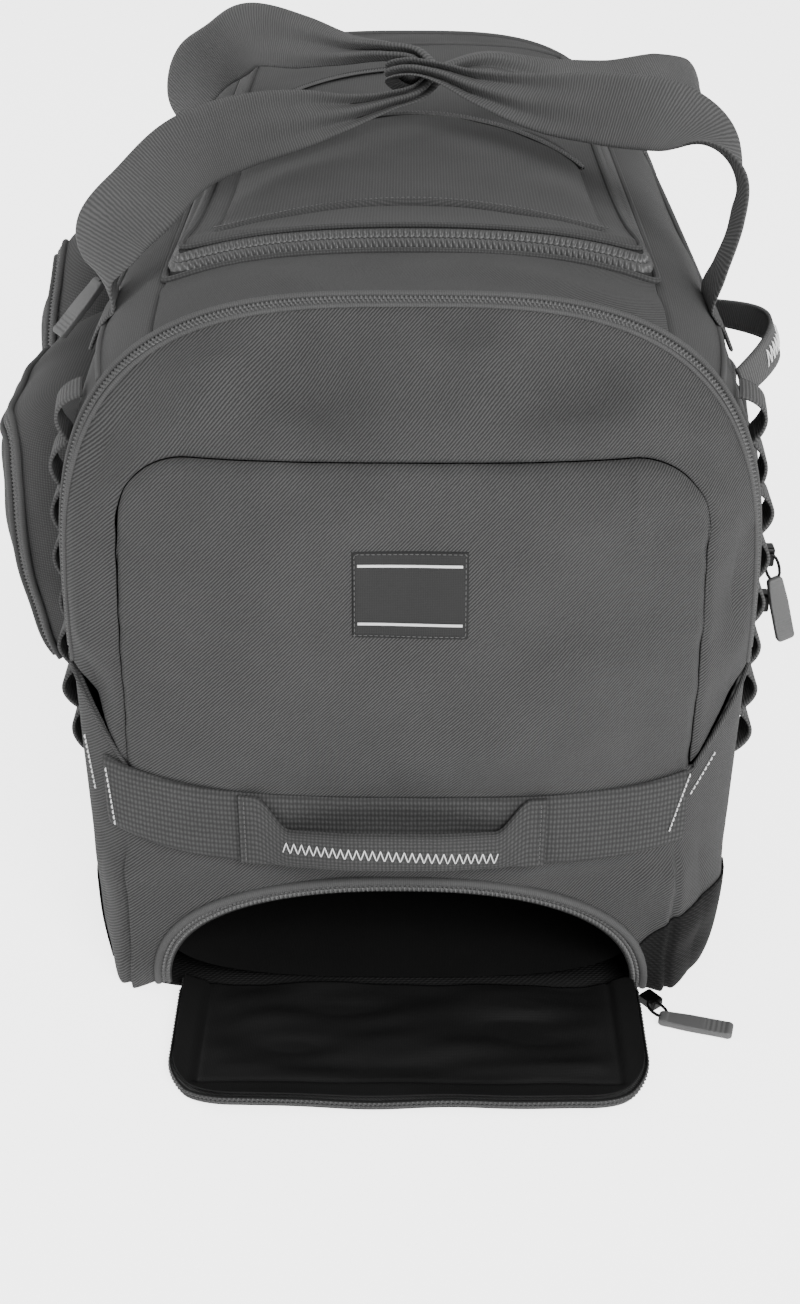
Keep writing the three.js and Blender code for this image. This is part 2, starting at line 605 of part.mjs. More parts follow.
// Side pockets: pillow-shaped covers standing off the side panels, open towards them
for (const pocket of SIDE_POCKETS) {
  const bulge = (u, v) => {
    const [a, b] = [2 * u - 1, 2 * v - 1];
    const fall = ((1 - Math.abs(a) ** 5) * (1 - Math.abs(b) ** pocket.square)) ** 0.6;
    return GAP + pocket.depth * blend(LOW_FULLNESS, 1, v) * fall;
  };
  const even = (t) => (1 - Math.cos(Math.PI * t)) / 2;
  const base = (u, v) => {
    const y = blend(pocket.from, pocket.to, u);
    const climb = pocket.climb * THREE.MathUtils.smoothstep(CLIMB_END - y, 0, CLIMB_RUN);
    const z = blend(POCKET_BOTTOM, pocket.top + climb, v);
    const point = bodyPoint(angleAtHeight(z, y), shareAt(y, z));
    point.x *= pocket.side;
    return point;
  };
  const columns = pocket.to - pocket.from > 200 ? 12 : 10;
  const cover = wall(base, SHARE_STEP, (u, v) => [even(u), even(v)], columns, 8,
    (u, v) => bulge(even(u), even(v)), (u, v) => bulge(even(u), even(v)) + CLOTH);
  addPiece(pocket.name, cover, GREY, 0.8);
}

// Point on a side of the bag at a height and a place along it, moved out by a distance.
function onSide(side, z, y, out) {
  const patch = (height, along) => bodyPoint(angleAtHeight(height, along), shareAt(along, height));
  const normal = patchNormal(patch, z, y, LENGTH_STEP);
  const point = patch(z, y).addScaledVector(normal, out * Math.sign(normal.x));
  point.x *= side;
  return point;
}

// Webbing strap through rows of centre points. The turn lifts its width from level to upright, and
// the swing turns it from along the bag to across it.
function strap(rows, stations) {
  const centres = rows.map((row) => new THREE.Vector3(row.x, row.y, row.z));
  const curve = new THREE.CatmullRomCurve3(centres, false, 'centripetal');
  const rings = [];
  for (let i = 0; i <= stations; i += 1) {
    const t = i / stations;
    const place = t * (rows.length - 1);
    const row = Math.min(Math.floor(place), rows.length - 2);
    const [from, to] = [rows[row], rows[row + 1]];
    const share = place - row;
    const turn = THREE.MathUtils.degToRad(blend(from.turn, to.turn, share));
    const centre = curve.getPoint(t);
    const tangent = curve.getTangent(t);
    const swing = THREE.MathUtils.degToRad(blend(from.swing ?? 0, to.swing ?? 0, share));
    const level = Math.cos(turn);
    const across = new THREE.Vector3(-level * Math.sin(swing), level * Math.cos(swing), Math.sin(turn));
    across.addScaledVector(tangent, -across.dot(tangent)).normalize();
    const out = new THREE.Vector3().crossVectors(tangent, across);
    const halfWidth = blend(from.width, to.width, share) / 2;
    const halfThick = blend(from.thick, to.thick, share) / 2;
    rings.push([[1, 1], [-1, 1], [-1, -1], [1, -1]].map(([a, b]) =>
      centre.clone().addScaledVector(across, a * halfWidth).addScaledVector(out, b * halfThick)));
  }
  return loft(rings);
}
const flat = { width: WEBBING, thick: WEBBING_THICKNESS };
const drawn = { width: 34, thick: 4 };
const rolled = { width: 15, thick: 7 };
function foot(side, y) {
  return FOOT_HEIGHTS.map((z) => ({ ...onSide(side, z, y, FOOT_OFFSET), turn: 0, ...flat }));
}

// The two carry handles stand over the lid and hook through each other at their middles
addPiece('carry_handle_left', strap([
  ...foot(-1, FRONT_FOOT),
  { x: -176, y: -255, z: 376, turn: 5, swing: 30, ...flat },
  { x: -168, y: -251, z: 396, turn: 20, swing: 74, ...flat },
  { x: -150, y: -236, z: 412, turn: 42, swing: 82, ...flat },
  { x: -131, y: -197, z: 424, turn: 60, swing: 40, ...flat },
  { x: -103, y: -150, z: 426, turn: 64, ...flat },
  { x: -66, y: -108, z: 424, turn: 58, ...flat },
  { x: -38, y: -82, z: 422, turn: 58, ...drawn },
  { x: -14, y: -65, z: 424, turn: 62, ...rolled },
  { x: 4, y: -57, z: 428, turn: 66, ...rolled },
  { x: 13, y: -49, z: 437, turn: 70, ...rolled },
  { x: 3, y: -41, z: 448, turn: 66, ...rolled },
  { x: -16, y: -36, z: 450, turn: 60, ...rolled },
  { x: -44, y: -12, z: 446, turn: 54, ...drawn },
  { x: -75, y: 18, z: 444, turn: 66, ...flat },
  { x: -112, y: 54, z: 441, turn: 68, swing: 45, ...flat },
  { x: -138, y: 81, z: 428, turn: 41, swing: 80, ...flat },
  { x: -158, y: 100, z: 408, turn: 25, swing: 70, ...flat },
  { x: -169, y: 109, z: 380, turn: 4, swing: 37, ...flat },
  ...foot(-1, REAR_FOOT).reverse(),
], 54), GREY, 0.75);

addPiece('carry_handle_right', strap([
  ...foot(1, FRONT_FOOT),
  { x: 174, y: -255, z: 376, turn: 0, ...flat },
  { x: 182, y: -249, z: 400, turn: 8, ...flat },
  { x: 184, y: -238, z: 420, turn: 20, ...flat },
  { x: 172, y: -215, z: 437, turn: 38, ...flat },
  { x: 149, y: -190, z: 444, turn: 52, ...flat },
  { x: 117, y: -155, z: 441, turn: 58, ...flat },
  { x: 79, y: -117, z: 436, turn: 60, ...flat },
  { x: 42, y: -86, z: 438, turn: 62, ...drawn },
  { x: 16, y: -68, z: 443, turn: 62, ...rolled },
  { x: -2, y: -60, z: 444, turn: 60, ...rolled },
  { x: -13, y: -51, z: 439, turn: 60, ...rolled },
  { x: -3, y: -42, z: 430, turn: 60, ...rolled },
  { x: 16, y: -34, z: 434, turn: 58, ...rolled },
  { x: 50, y: -14, z: 436, turn: 54, ...drawn },
  { x: 98, y: 6, z: 420, turn: 50, ...flat },
  { x: 138, y: 32, z: 410, turn: 44, ...flat },
  { x: 180, y: 62, z: 409, turn: 36, ...flat },
  { x: 206, y: 90, z: 399, turn: 18, ...flat },
  { x: 210, y: 105, z: 380, turn: 4, ...flat },
  { x: 192, y: 110, z: 364, turn: 0, ...flat },
  ...foot(1, REAR_FOOT).reverse(),
], 56), GREY, 0.75);

// Webbing chains of small loops up both sides behind the near rim
for (const [name, side] of [['loop_chain_left', -1], ['loop_chain_right', 1]]) {
  const loopOut = (v) => 0.6 + CHAIN.standOff * Math.abs(Math.sin(Math.PI * CHAIN.loops * v)) ** 0.8;
  const chain = (u, v) => {
    const z = blend(CHAIN.low, CHAIN.high, v);
    const y = nearRim(z) + RIM_SETBACK + CHAIN.setback + CHAIN.width * u;
    const point = bodyPoint(angleAtHeight(z, y), shareAt(y - RIM_SETBACK, z));
    point.x *= side;
    return point;
  };
  addPiece(name, wall(chain, SHARE_STEP, shares, 1, CHAIN.loops * 4, (u, v) => loopOut(v),
    (u, v) => loopOut(v) + CHAIN.thickness), GREY, 0.75);
}

// Webbing loop grip on the right shoulder
const sideGripOut = (u) => 0.6 + SIDE_GRIP.standOff * Math.sin(Math.PI * u);
addPiece('side_grip', wall((u, v) => {
  const y = blend(SIDE_GRIP.from, SIDE_GRIP.to, u);
  const z = blend(SIDE_GRIP.low, SIDE_GRIP.high, v);
  return bodyPoint(angleAtHeight(z, y), shareAt(y, z));
}, SHARE_STEP, shares, 18, 1, sideGripOut, (u) => sideGripOut(u) + SIDE_GRIP.thickness), GREY, 0.75);

// Moulded zip pulls with a slider behind each
function pullGeometry() {
  const { length, width, thickness, corner } = PULL;
  const outline = new THREE.Shape();
  outline.moveTo(-length / 2 + corner, -width / 2);
  outline.lineTo(length / 2 - corner, -width / 2);
  outline.quadraticCurveTo(length / 2, -width / 2, length / 2, -width / 2 + corner);
  outline.lineTo(length / 2, width / 2 - corner);
  outline.quadraticCurveTo(length / 2, width / 2, length / 2 - corner, width / 2);
  outline.lineTo(-length / 2 + corner, width / 2);
  outline.quadraticCurveTo(-length / 2, width / 2, -length / 2, width / 2 - corner);
  outline.lineTo(-length / 2, -width / 2 + corner);
  outline.quadraticCurveTo(-length / 2, -width / 2, -length / 2 + corner, -width / 2);
  const settings = { depth: thickness, bevelEnabled: false, curveSegments: 3 };
  const geometry = new THREE.ExtrudeGeometry(outline, settings);
  geometry.translate(0, 0, -thickness / 2);
  return geometry;
}
const SIDE_SLIDER_THICKNESS = 8;
const SLIDER = { length: 12, width: 9, thickness: 6 };

const sliderGeometry = (thickness) => new THREE.BoxGeometry(SLIDER.length, SLIDER.width, thickness);

const batPull = addPiece('bat_zip_pull', pullGeometry(), RUBBER, 0.6);
batPull.position.set(163, -464, PULL.thickness / 2);
batPull.rotation.z = -0.27;
const batSlider = addPiece('bat_zip_slider', sliderGeometry(SLIDER.thickness), BLACK, 0.4, 0.8);
batSlider.position.set(140, -443, SLIDER.thickness / 2);
batSlider.rotation.z = -0.9;

const sidePull = addPiece('side_zip_pull', pullGeometry(), RUBBER, 0.6);
sidePull.position.set(215, -324, 196);
sidePull.rotation.set(Math.PI / 2, Math.PI / 2 - 0.26, 0, 'YXZ');
for (const [name, z] of [['side_zip_slider_upper', 226], ['side_zip_slider_lower', 196]]) {
  const slider = addPiece(name, sliderGeometry(SIDE_SLIDER_THICKNESS), BLACK, 0.4, 0.8);
  slider.rotation.y = Math.PI / 2;
  slider.position.set(206, -314, z);
}

const leftPull = addPiece('shoulder_pull', pullGeometry(), RUBBER, 0.6);
leftPull.position.set(-199, -204, 335);
leftPull.rotation.set(0.35, -0.75, 0.55);

// Moulded kick plate with a well for each wheel, open to the inside of the bag
function solidOf(geometry) {
  const copy = geometry.clone();
  copy.deleteAttribute('normal');
  copy.deleteAttribute('uv');
  const merged = mergeVertices(copy, 1e-4);
  return new wasm.Manifold(new wasm.Mesh({
    numProp: 3,
    vertProperties: new Float32Array(merged.getAttribute('position').array),
    triVerts: new Uint32Array(merged.getIndex().array),
  }));
}
function boxSolid(fromX, toX, fromY, toY, fromZ, toZ) {
  const box = new THREE.BoxGeometry(toX - fromX, toY - fromY, toZ - fromZ);
  box.translate((fromX + toX) / 2, (fromY + toY) / 2, (fromZ + toZ) / 2);
  return solidOf(box);
}
function crossBar(radius, fromX, toX) {
  const bar = new THREE.CylinderGeometry(radius, radius, toX - fromX, 16);
  bar.rotateZ(Math.PI / 2);
  bar.translate((fromX + toX) / 2, WHEEL.y, WHEEL.radius);
  return bar;
}
function geometryOf(solid) {
  const { vertProperties, triVerts } = solid.getMesh();
  const geometry = new THREE.BufferGeometry();
  geometry.setAttribute('position', new THREE.BufferAttribute(vertProperties, 3));
  geometry.setIndex(new THREE.BufferAttribute(triVerts, 1));
  return geometry;
}
// Outline of the kick plate at a height: straight in front, following the far end behind.
function kickRing(z, inset, lift) {
  const columns = 10;
  const halfWidth = halfWidthAt(z, FAR_RIM);
  const bootEnd = blend(nearRim(z) + RIM_SETBACK, farRim(z) - FAR_SETBACK, BOOT_SHARE);
  const front = bootEnd + 2 * GAP - 2 * inset;
  const out = KICK.skin - inset;
  const edge = halfWidth + out;
  const ring = [new THREE.Vector3(-edge, front, z + lift), new THREE.Vector3(edge, front, z + lift)];
  for (let i = 0; i <= columns; i += 1) {
    const across = Math.sin((Math.PI / 2) * (1 - (2 * i) / columns));
    const y = farPoint(across * halfWidth, z).y + out;
    ring.push(new THREE.Vector3(across * edge, y, z + lift));
  }
  return ring;
}
const kickBlock = solidOf(loft(KICK.heights.map((z) => kickRing(z, 0, 0))));
const kickRoom = solidOf(loft(KICK.heights.map((z) => kickRing(z, KICK.wall, KICK.wall))));
let kickPlate = kickBlock.subtract(kickRoom);
for (const side of [-1, 1]) {
  const [inner, outer] = [side * WHEEL.x - WELL.halfWidth, side * WHEEL.x + WELL.halfWidth];
  const housing = boxSolid(inner - WELL.cheek, outer + WELL.cheek,
    WELL.front - WELL.cheek, WELL.rear, 0, KICK.height);
  kickPlate = kickPlate.add(housing.intersect(kickBlock))
    .subtract(boxSolid(inner, outer, WELL.front, WELL.rear, -1, WELL.top))
    .subtract(solidOf(crossBar(AXLE_HOLE, inner - WELL.cheek - 1, outer + WELL.cheek + 1)));
}
addPiece('kick_plate', geometryOf(kickPlate), BLACK, 0.55);

// Wheels: a grooved tyre on a dished hub, turning on a steel axle between the cheeks
const WHEEL_PROFILE = [
  { radius: WHEEL.bore, across: -10 },
  { radius: 9, across: -10 },
  { radius: 11, across: -6 },
  { radius: 27, across: -6 },
  { radius: 28, across: -12 },
  { radius: WHEEL.radius, across: -9 },
  { radius: WHEEL.radius, across: 9 },
  { radius: 28, across: 12 },
  { radius: 27, across: 6 },
  { radius: 11, across: 6 },
  { radius: 9, across: 10 },
  { radius: WHEEL.bore, across: 10 },
  { radius: WHEEL.bore, across: -10 },
];
for (const [side, word] of [[-1, 'left'], [1, 'right']]) {
  const profile = WHEEL_PROFILE.map(({ radius, across }) => new THREE.Vector2(radius, across));
  const tyre = addPiece(`wheel_${word}`, new THREE.LatheGeometry(profile, WHEEL.sides), BLACK, 0.7);
  tyre.rotation.z = Math.PI / 2;
  tyre.position.set(side * WHEEL.x, WHEEL.y, WHEEL.radius);
  const reach = WELL.halfWidth + WELL.cheek - 1;
  const axle = crossBar(AXLE_RADIUS, side * WHEEL.x - reach, side * WHEEL.x + reach);
  addPiece(`axle_${word}`, axle, STEEL, 0.35, 1);
}

export default bag;
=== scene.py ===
from math import cos, pi, radians, sin

import bmesh
import bpy
import numpy as np
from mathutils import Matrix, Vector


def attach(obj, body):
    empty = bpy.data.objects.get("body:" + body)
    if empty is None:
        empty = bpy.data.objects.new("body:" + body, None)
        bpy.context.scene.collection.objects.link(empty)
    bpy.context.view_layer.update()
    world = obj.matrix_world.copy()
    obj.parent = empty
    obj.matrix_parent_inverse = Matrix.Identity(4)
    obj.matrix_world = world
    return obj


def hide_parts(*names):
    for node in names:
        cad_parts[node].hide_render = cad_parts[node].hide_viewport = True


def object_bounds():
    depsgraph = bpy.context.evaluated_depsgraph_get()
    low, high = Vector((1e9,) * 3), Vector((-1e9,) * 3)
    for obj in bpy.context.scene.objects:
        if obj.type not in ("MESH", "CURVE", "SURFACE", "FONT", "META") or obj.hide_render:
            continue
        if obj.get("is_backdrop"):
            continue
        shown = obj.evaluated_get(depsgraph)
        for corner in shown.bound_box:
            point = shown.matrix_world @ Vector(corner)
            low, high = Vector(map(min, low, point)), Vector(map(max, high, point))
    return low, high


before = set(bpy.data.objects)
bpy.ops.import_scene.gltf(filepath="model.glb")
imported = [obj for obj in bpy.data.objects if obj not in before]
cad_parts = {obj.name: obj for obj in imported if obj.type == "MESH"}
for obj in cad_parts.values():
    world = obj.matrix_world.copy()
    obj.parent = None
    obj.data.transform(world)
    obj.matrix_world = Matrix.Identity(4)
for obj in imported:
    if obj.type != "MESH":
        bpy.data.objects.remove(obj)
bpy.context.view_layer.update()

# Base: a dark ribbed cloth boot round the floor and the lower sides, sewn to the panels above.
# The bag's outer shape, the mesh builder and the woven materials are set out here first.
MM = 0.001
NEAR_RIM, FAR_RIM = -384, 400
NEAR_LEAN, FAR_LEAN, LEAN_HEIGHT = 24, 40, 390
RIM_SETBACK, FAR_SETBACK = 4, 3.2
WIDEST, BASE_POWER, BASE_TUCK = 215, 14, 20
BASE_TAPER, TAPER_POWER = 0.04, 1.6
BOOT_HEIGHT, BOOT_SHARE = 82, 0.936
NOSE_HALF, NOSE_EASE = 172, 14
CLOTH = 2
BAG_CENTRE = np.array([0, 0, 190])
FOLD_WAVES = 5

# Columns: place along the bag, half width, height, squareness of the shoulders
SECTIONS = [
    (-384, 190, 396, 3.1),
    (-300, 191, 392, 4.0),
    (-100, 191, 389, 4.3),
    (150, 189, 387, 4.3),
    (300, 187, 385, 4.0),
    (400, 183, 381, 3.2),
]
# Columns: height, swell of the end past its rim
NEAR_SWELL = [(0, 48), (20, 55), (140, 62), (220, 64), (300, 52), (340, 36), (368, 14), (396, 0)]
FAR_SWELL = [(60, 30), (140, 38), (220, 40), (300, 30), (350, 14), (381, 0)]
SWELL_ROUNDNESS, SWELL_POWER, CORNER_POWER, CORNER_HEIGHT = 0.55, 3, 5, 150


def mix(a, b, share):
    """From a to b by the share."""
    return a + (b - a) * share


def unit(vectors):
    """Vectors scaled to length one."""
    return vectors / np.maximum(np.linalg.norm(vectors, axis=-1, keepdims=True), 1e-9)


def clamp(share):
    """A share held between 0 and 1."""
    return np.clip(share, 0, 1)


def joined(*parts):
    """Arrays brought to one shape and put side by side along a new last axis."""
    return np.stack(np.broadcast_arrays(*parts), -1)


def pair(a, b):
    """Two values as arrays of one shape."""
    return np.broadcast_arrays(np.asarray(a, float), np.asarray(b, float))


def cubic(first, slope_first, second, slope_second, t):
    """Cubic curve from one value to another with a slope at each, at a share of the way."""
    start = first * (1 + 2 * t) * (1 - t) ** 2 + slope_first * t * (1 - t) ** 2
    return start + (second * t * t * (3 - 2 * t) + slope_second * t * t * (t - 1))


def read_table(rows, at):
    """The columns of a table at any places along its first column: cubic curves through the rows,
    whose slope at each row is that of the line between its neighbours."""
    rows, at = np.asarray(rows, float), np.asarray(at, float)
    last = len(rows) - 1
    i = np.clip(np.searchsorted(rows[:, 0], at) - 1, 0, last - 1)
    before, first, second, after = (rows[np.clip(i + k, 0, last)] for k in (-1, 0, 1, 2))
    span = second[..., :1] - first[..., :1]
    t = clamp((at[..., None] - first[..., :1]) / span)
    slope_first = (second - before) / (second[..., :1] - before[..., :1]) * span
    slope_second = (after - first) / (after[..., :1] - first[..., :1]) * span
    return np.moveaxis(cubic(first, slope_first, second, slope_second, t), -1, 0)


def near_rim(z):
    """Place of the near rim, which leans back with height."""
    return NEAR_RIM + NEAR_LEAN * z / LEAN_HEIGHT


def far_rim(z):
    """Place of the far rim, which leans forward with height."""
    return FAR_RIM - FAR_LEAN * z / LEAN_HEIGHT


def taper(z):
    """Share of the width that is left below the widest height."""
    return 1 - BASE_TAPER * (np.maximum(0, WIDEST - z) / WIDEST) ** TAPER_POWER


def share_at(y, z):
    """Share of the way from the near rim to the far rim at a height."""
    return (y - near_rim(z)) / (far_rim(z) - near_rim(z))


def body_point(angle, share):
    """Point on the tube: a superellipse by angle, rounded above the widest height and square and
    flat-bottomed below it, at a share of the length."""
    angle, share = pair(angle, share)
    _, half, height, shoulder = read_table(SECTIONS, mix(NEAR_RIM, FAR_RIM, share))
    across, upward = np.cos(angle), np.sin(angle)
    upper = upward >= 0
    power = np.where(upper, shoulder, BASE_POWER)
    reach = (np.abs(across) ** power + np.abs(upward) ** power) ** (-1 / power)
    z = np.maximum(0, WIDEST + np.where(upper, height - WIDEST, WIDEST + BASE_TUCK) * reach * upward)
    y = mix(near_rim(z) + RIM_SETBACK, far_rim(z) - FAR_SETBACK, share)
    return joined(half * taper(z) * reach * across, y, z)


def half_width(z, y):
    """Half width of the section at a height."""
    z, y = pair(z, y)
    _, half, height, shoulder = read_table(SECTIONS, y)
    upper = z >= WIDEST
    power = np.where(upper, shoulder, BASE_POWER)
    rise = np.where(upper, height - WIDEST, WIDEST + BASE_TUCK)
    level = clamp(np.abs(z - WIDEST) / rise)
    return half * taper(z) * (1 - level ** power) ** (1 / power)


def angle_at_height(z, y):
    """Angle round the section at which the right side reaches a height."""
    _, half, height, _ = read_table(SECTIONS, y)
    rise = np.where(np.asarray(z) >= WIDEST, height - WIDEST, WIDEST + BASE_TUCK)
    return np.arctan2((z - WIDEST) / rise, half_width(z, y) / (half * taper(z)))


def angle_at_width(x, y):
    """Angle round the section at which the upper right side is a distance off the centre."""
    _, half, _, shoulder = read_table(SECTIONS, y)
    return np.arctan2((1 - (x / half) ** shoulder) ** (1 / shoulder), x / half)


def top_point(x, y):
    """Point on top of the tube above a place in plan."""
    x, y = pair(x, y)
    _, half, height, shoulder = read_table(SECTIONS, mix(NEAR_RIM, FAR_RIM, share_at(y, LEAN_HEIGHT)))
    level = (1 - clamp(np.abs(x / half)) ** shoulder) ** (1 / shoulder)
    return joined(x, y, WIDEST + (height - WIDEST) * level)


def swell(rows, x, z, y):
    """How far an end stands past its rim: full on the centre line and nothing at the rim, with
    squarer corners near the floor."""
    power = SWELL_POWER + CORNER_POWER * np.maximum(0, 1 - z / CORNER_HEIGHT) ** 2
    side = clamp(np.abs(x) / np.maximum(half_width(z, y), 1e-6))
    return read_table(rows, z)[1] * (1 - side ** power) ** SWELL_ROUNDNESS


def near_point(x, z):
    """Point on the near end at a place across and a height."""
    x, z = pair(x, z)
    return joined(x, near_rim(z) - swell(NEAR_SWELL, x, z, NEAR_RIM), z)


def far_point(x, z):
    """Point on the far end at a place across and a height."""
    x, z = pair(x, z)
    return joined(x, far_rim(z) + swell(FAR_SWELL, x, z, FAR_RIM), z)


def side_point(z, y):
    """Point on the right side at a height and a place along the bag."""
    return body_point(angle_at_height(z, y), share_at(y, z))


def outward(patch, a, b, step=0.5):
    """Unit normals of a patch, away from the bag, from small steps of its two coordinates."""
    along_a = patch(a + step, b) - patch(a - step, b)
    along_b = patch(a, b + step) - patch(a, b - step)
    normal = unit(np.cross(along_a, along_b))
    return normal * np.sign(np.sum(normal * (patch(a, b) - BAG_CENTRE), -1, keepdims=True))


def lift(patch, a, b, out, step=0.5):
    """Points of a patch moved out along its normals by distances in mm."""
    a, b = pair(a, b)
    return patch(a, b) + outward(patch, a, b, step) * np.asarray(out, float)[..., None]


def folds(across, along, seed, lengths):
    """Uneven soft folds from about -1 to 1: waves of the given lengths in mm, in seeded
    directions and phases, the longer ones the stronger."""
    rng = np.random.default_rng(seed)
    total = np.zeros(np.broadcast(across, along).shape)
    for length in np.repeat(lengths, FOLD_WAVES):
        turn, phase = rng.uniform(0, 2 * pi, 2)
        total += length * np.cos(2 * pi * (across * cos(turn) + along * sin(turn)) / length + phase)
    return total / np.sqrt(FOLD_WAVES * np.sum(np.square(lengths)))


def grid(columns, rows):
    """Two arrays of shares, across and along, for a patch of points."""
    return np.meshgrid(np.linspace(0, 1, columns), np.linspace(0, 1, rows))


def travel(points, axis):
    """Length in mm along the middle line of patches of points."""
    line = np.take(points, points.shape[3 - axis] // 2, axis=3 - axis)
    steps = np.linalg.norm(np.diff(line, axis=1), axis=-1)
    return np.concatenate([np.zeros((len(points), 1)), np.cumsum(steps, axis=1)], axis=1)


def add_object(name, data):
    """A new object in the scene."""
    made = bpy.data.objects.new(name, data)
    bpy.context.scene.collection.objects.link(made)
    return made


def add_grid(name, points, material, nodes=(), uv=None, thick=0, wrap=False, body="bag"):
    """One piece from patches of points in mm, shaped rows by columns, or a list of such patches. A
    wrapped patch closes round its columns. Cloth coordinates are the lengths along the patch, or
    those given, in mm. The thickness goes inwards."""
    points = np.asarray(points, float)
    points = points.reshape((-1,) + points.shape[-3:])
    index = np.arange(points.size // 3).reshape(points.shape[:3])
    if uv is None:
        across, along = travel(points, 2)[:, None, :], travel(points, 1)[:, :, None]
        uv = joined(across, along)
    if wrap:
        index = np.concatenate([index, index[:, :, :1]], axis=2)
    quads = joined(index[:, :-1, :-1], index[:, :-1, 1:], index[:, 1:, 1:], index[:, 1:, :-1])
    quads = quads.reshape(-1, 4)
    corner = points.reshape(-1, 3)[quads]
    area = np.cross(corner[:, 2] - corner[:, 0], corner[:, 3] - corner[:, 1])
    if np.sum(area * (corner.mean(1) - BAG_CENTRE)) < 0:
        quads = quads[:, ::-1]
    mesh = bpy.data.meshes.new(name)
    mesh.vertices.add(points.size // 3)
    mesh.vertices.foreach_set("co", (points * MM).astype(np.float32).ravel())
    mesh.loops.add(quads.size)
    mesh.loops.foreach_set("vertex_index", quads.astype(np.int32).ravel())
    mesh.polygons.add(len(quads))
    mesh.polygons.foreach_set("loop_start", np.arange(0, quads.size, 4, dtype=np.int32))
    mesh.update(calc_edges=True)
    mesh.shade_smooth()
    flat = np.reshape(uv, (-1, 2))[quads.ravel()] * MM
    mesh.uv_layers.new(name="cloth").data.foreach_set("uv", flat.astype(np.float32).ravel())
    mesh.materials.append(material)
    piece = add_object(name, mesh)
    if thick:
        solid = piece.modifiers.new("thickness", "SOLIDIFY")
        solid.thickness = thick * MM
        solid.offset = -1
    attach(piece, body)
    if nodes:
        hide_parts(*nodes)
    return piece


def linear(colour):
    """Linear colour of an sRGB hex colour."""
    value = np.array([int(colour[i:i + 2], 16) for i in (1, 3, 5)]) / 255
    value = np.where(value <= 0.04045, value / 12.92, ((value + 0.055) / 1.055) ** 2.4)
    return (*value, 1)


def node(tree, kind, inputs=None, output=0, **settings):
    """Adds a node with its settings, sets its inputs to values or to other nodes' outputs, and gives
    one of its own outputs."""
    made = tree.nodes.new(kind)
    for key, value in settings.items():
        setattr(made, key, value)
    for key, value in (inputs or {}).items():
        if isinstance(value, bpy.types.NodeSocket):
            tree.links.new(value, made.inputs[key])
        else:
            made.inputs[key].default_value = value
    return made.outputs[output] if made.outputs else None


# Scale of a wave texture that puts one line in a metre of the cloth, by the lines' direction
WAVE_PERIOD = {"X": 0.31416, "Y": 0.31416, "DIAGONAL": 0.62832}
# Blotches and grains in a metre: 36 mm and 2 mm wide
BLOTCHES, GRAINS = 28, 500


def surface(name, colour, roughness, lines=(), contrast=0, depth=0, uneven=0.05, sheen=0, metal=0):
    """Material of one colour. The lines are the threads or grooves, each a direction with its
    pitch in mm; together they shade the colour by the contrast and raise it by the depth in mm.
    Without lines, a fine grain raises it. Slow noise makes the colour uneven."""
    material = bpy.data.materials.new(name)
    material.use_nodes = True
    tree = material.node_tree
    tree.nodes.clear()
    place = node(tree, "ShaderNodeTexCoord", output="Object")
    cloud = node(tree, "ShaderNodeTexNoise", {"Vector": place, "Scale": BLOTCHES, "Detail": 4})
    tint = node(tree, "ShaderNodeMapRange", {0: cloud, 1: 0.3, 2: 0.7, 3: 1 - uneven, 4: 1 + uneven})
    if lines:
        height = 1
        cloth = node(tree, "ShaderNodeUVMap", output="UV")
        for direction, pitch in lines:
            scale = WAVE_PERIOD[direction] / (pitch * MM)
            wave = node(tree, "ShaderNodeTexWave", {"Vector": cloth, "Scale": scale, "Distortion": 1.4,
                        "Detail": 2, "Detail Scale": 2.5}, "Fac", bands_direction=direction)
            strength = node(tree, "ShaderNodeMapRange", {0: wave, 3: 0.35, 4: 1})
            height = node(tree, "ShaderNodeMath", {0: strength, 1: height}, operation="MULTIPLY")
        shade = node(tree, "ShaderNodeMapRange", {0: height, 3: 1 - contrast, 4: 1 + contrast})
        tint = node(tree, "ShaderNodeMath", {0: tint, 1: shade}, operation="MULTIPLY")
    else:
        height = node(tree, "ShaderNodeTexNoise", {"Vector": place, "Scale": GRAINS, "Detail": 2})
    bump = node(tree, "ShaderNodeBump", {"Height": height, "Strength": 0.8, "Distance": depth * MM})
    base = node(tree, "ShaderNodeHueSaturation", {"Value": tint, "Color": linear(colour)})
    shine = node(tree, "ShaderNodeBsdfPrincipled", {
        "Base Color": base, "Roughness": roughness, "Metallic": metal, "Sheen Weight": sheen,
        "Specular IOR Level": 0.12 if lines else 0.5, "Normal": bump})
    node(tree, "ShaderNodeOutputMaterial", {0: shine})
    return material


# Threads of all the cloths, tapes and webbings are finer than the render can show, so their pitches
# are drawn as coarse as they need to be to show.
# Twill: matt, with fine slanting ribs that break up the light.
TWILL = surface("grey polyester twill", "#363636", 0.85, [("DIAGONAL", 1.9)], 0.95, 0.5, sheen=0.04)
# Plain weave: matt and even, a small grid of threads.
PLAIN = surface("grey polyester plain weave", "#3e3e3e", 0.85, [("X", 1.8), ("Y", 1.8)], 0.4, 0.3, sheen=0.04)
# Base cloth: nearly black, coarse slanting ribs with a weak shine.
BOOT = surface("dark ribbed base cloth", "#161616", 0.75, [("DIAGONAL", 3.4), ("Y", 1.8)], 0.6, 0.6)
# Binding: a narrow tape rolled over the seam, a little lighter than the cloth, with cross ribs.
BINDING = surface("grey seam binding", "#454545", 0.75, [("Y", 1.2)], 0.25, 0.2, sheen=0.04)

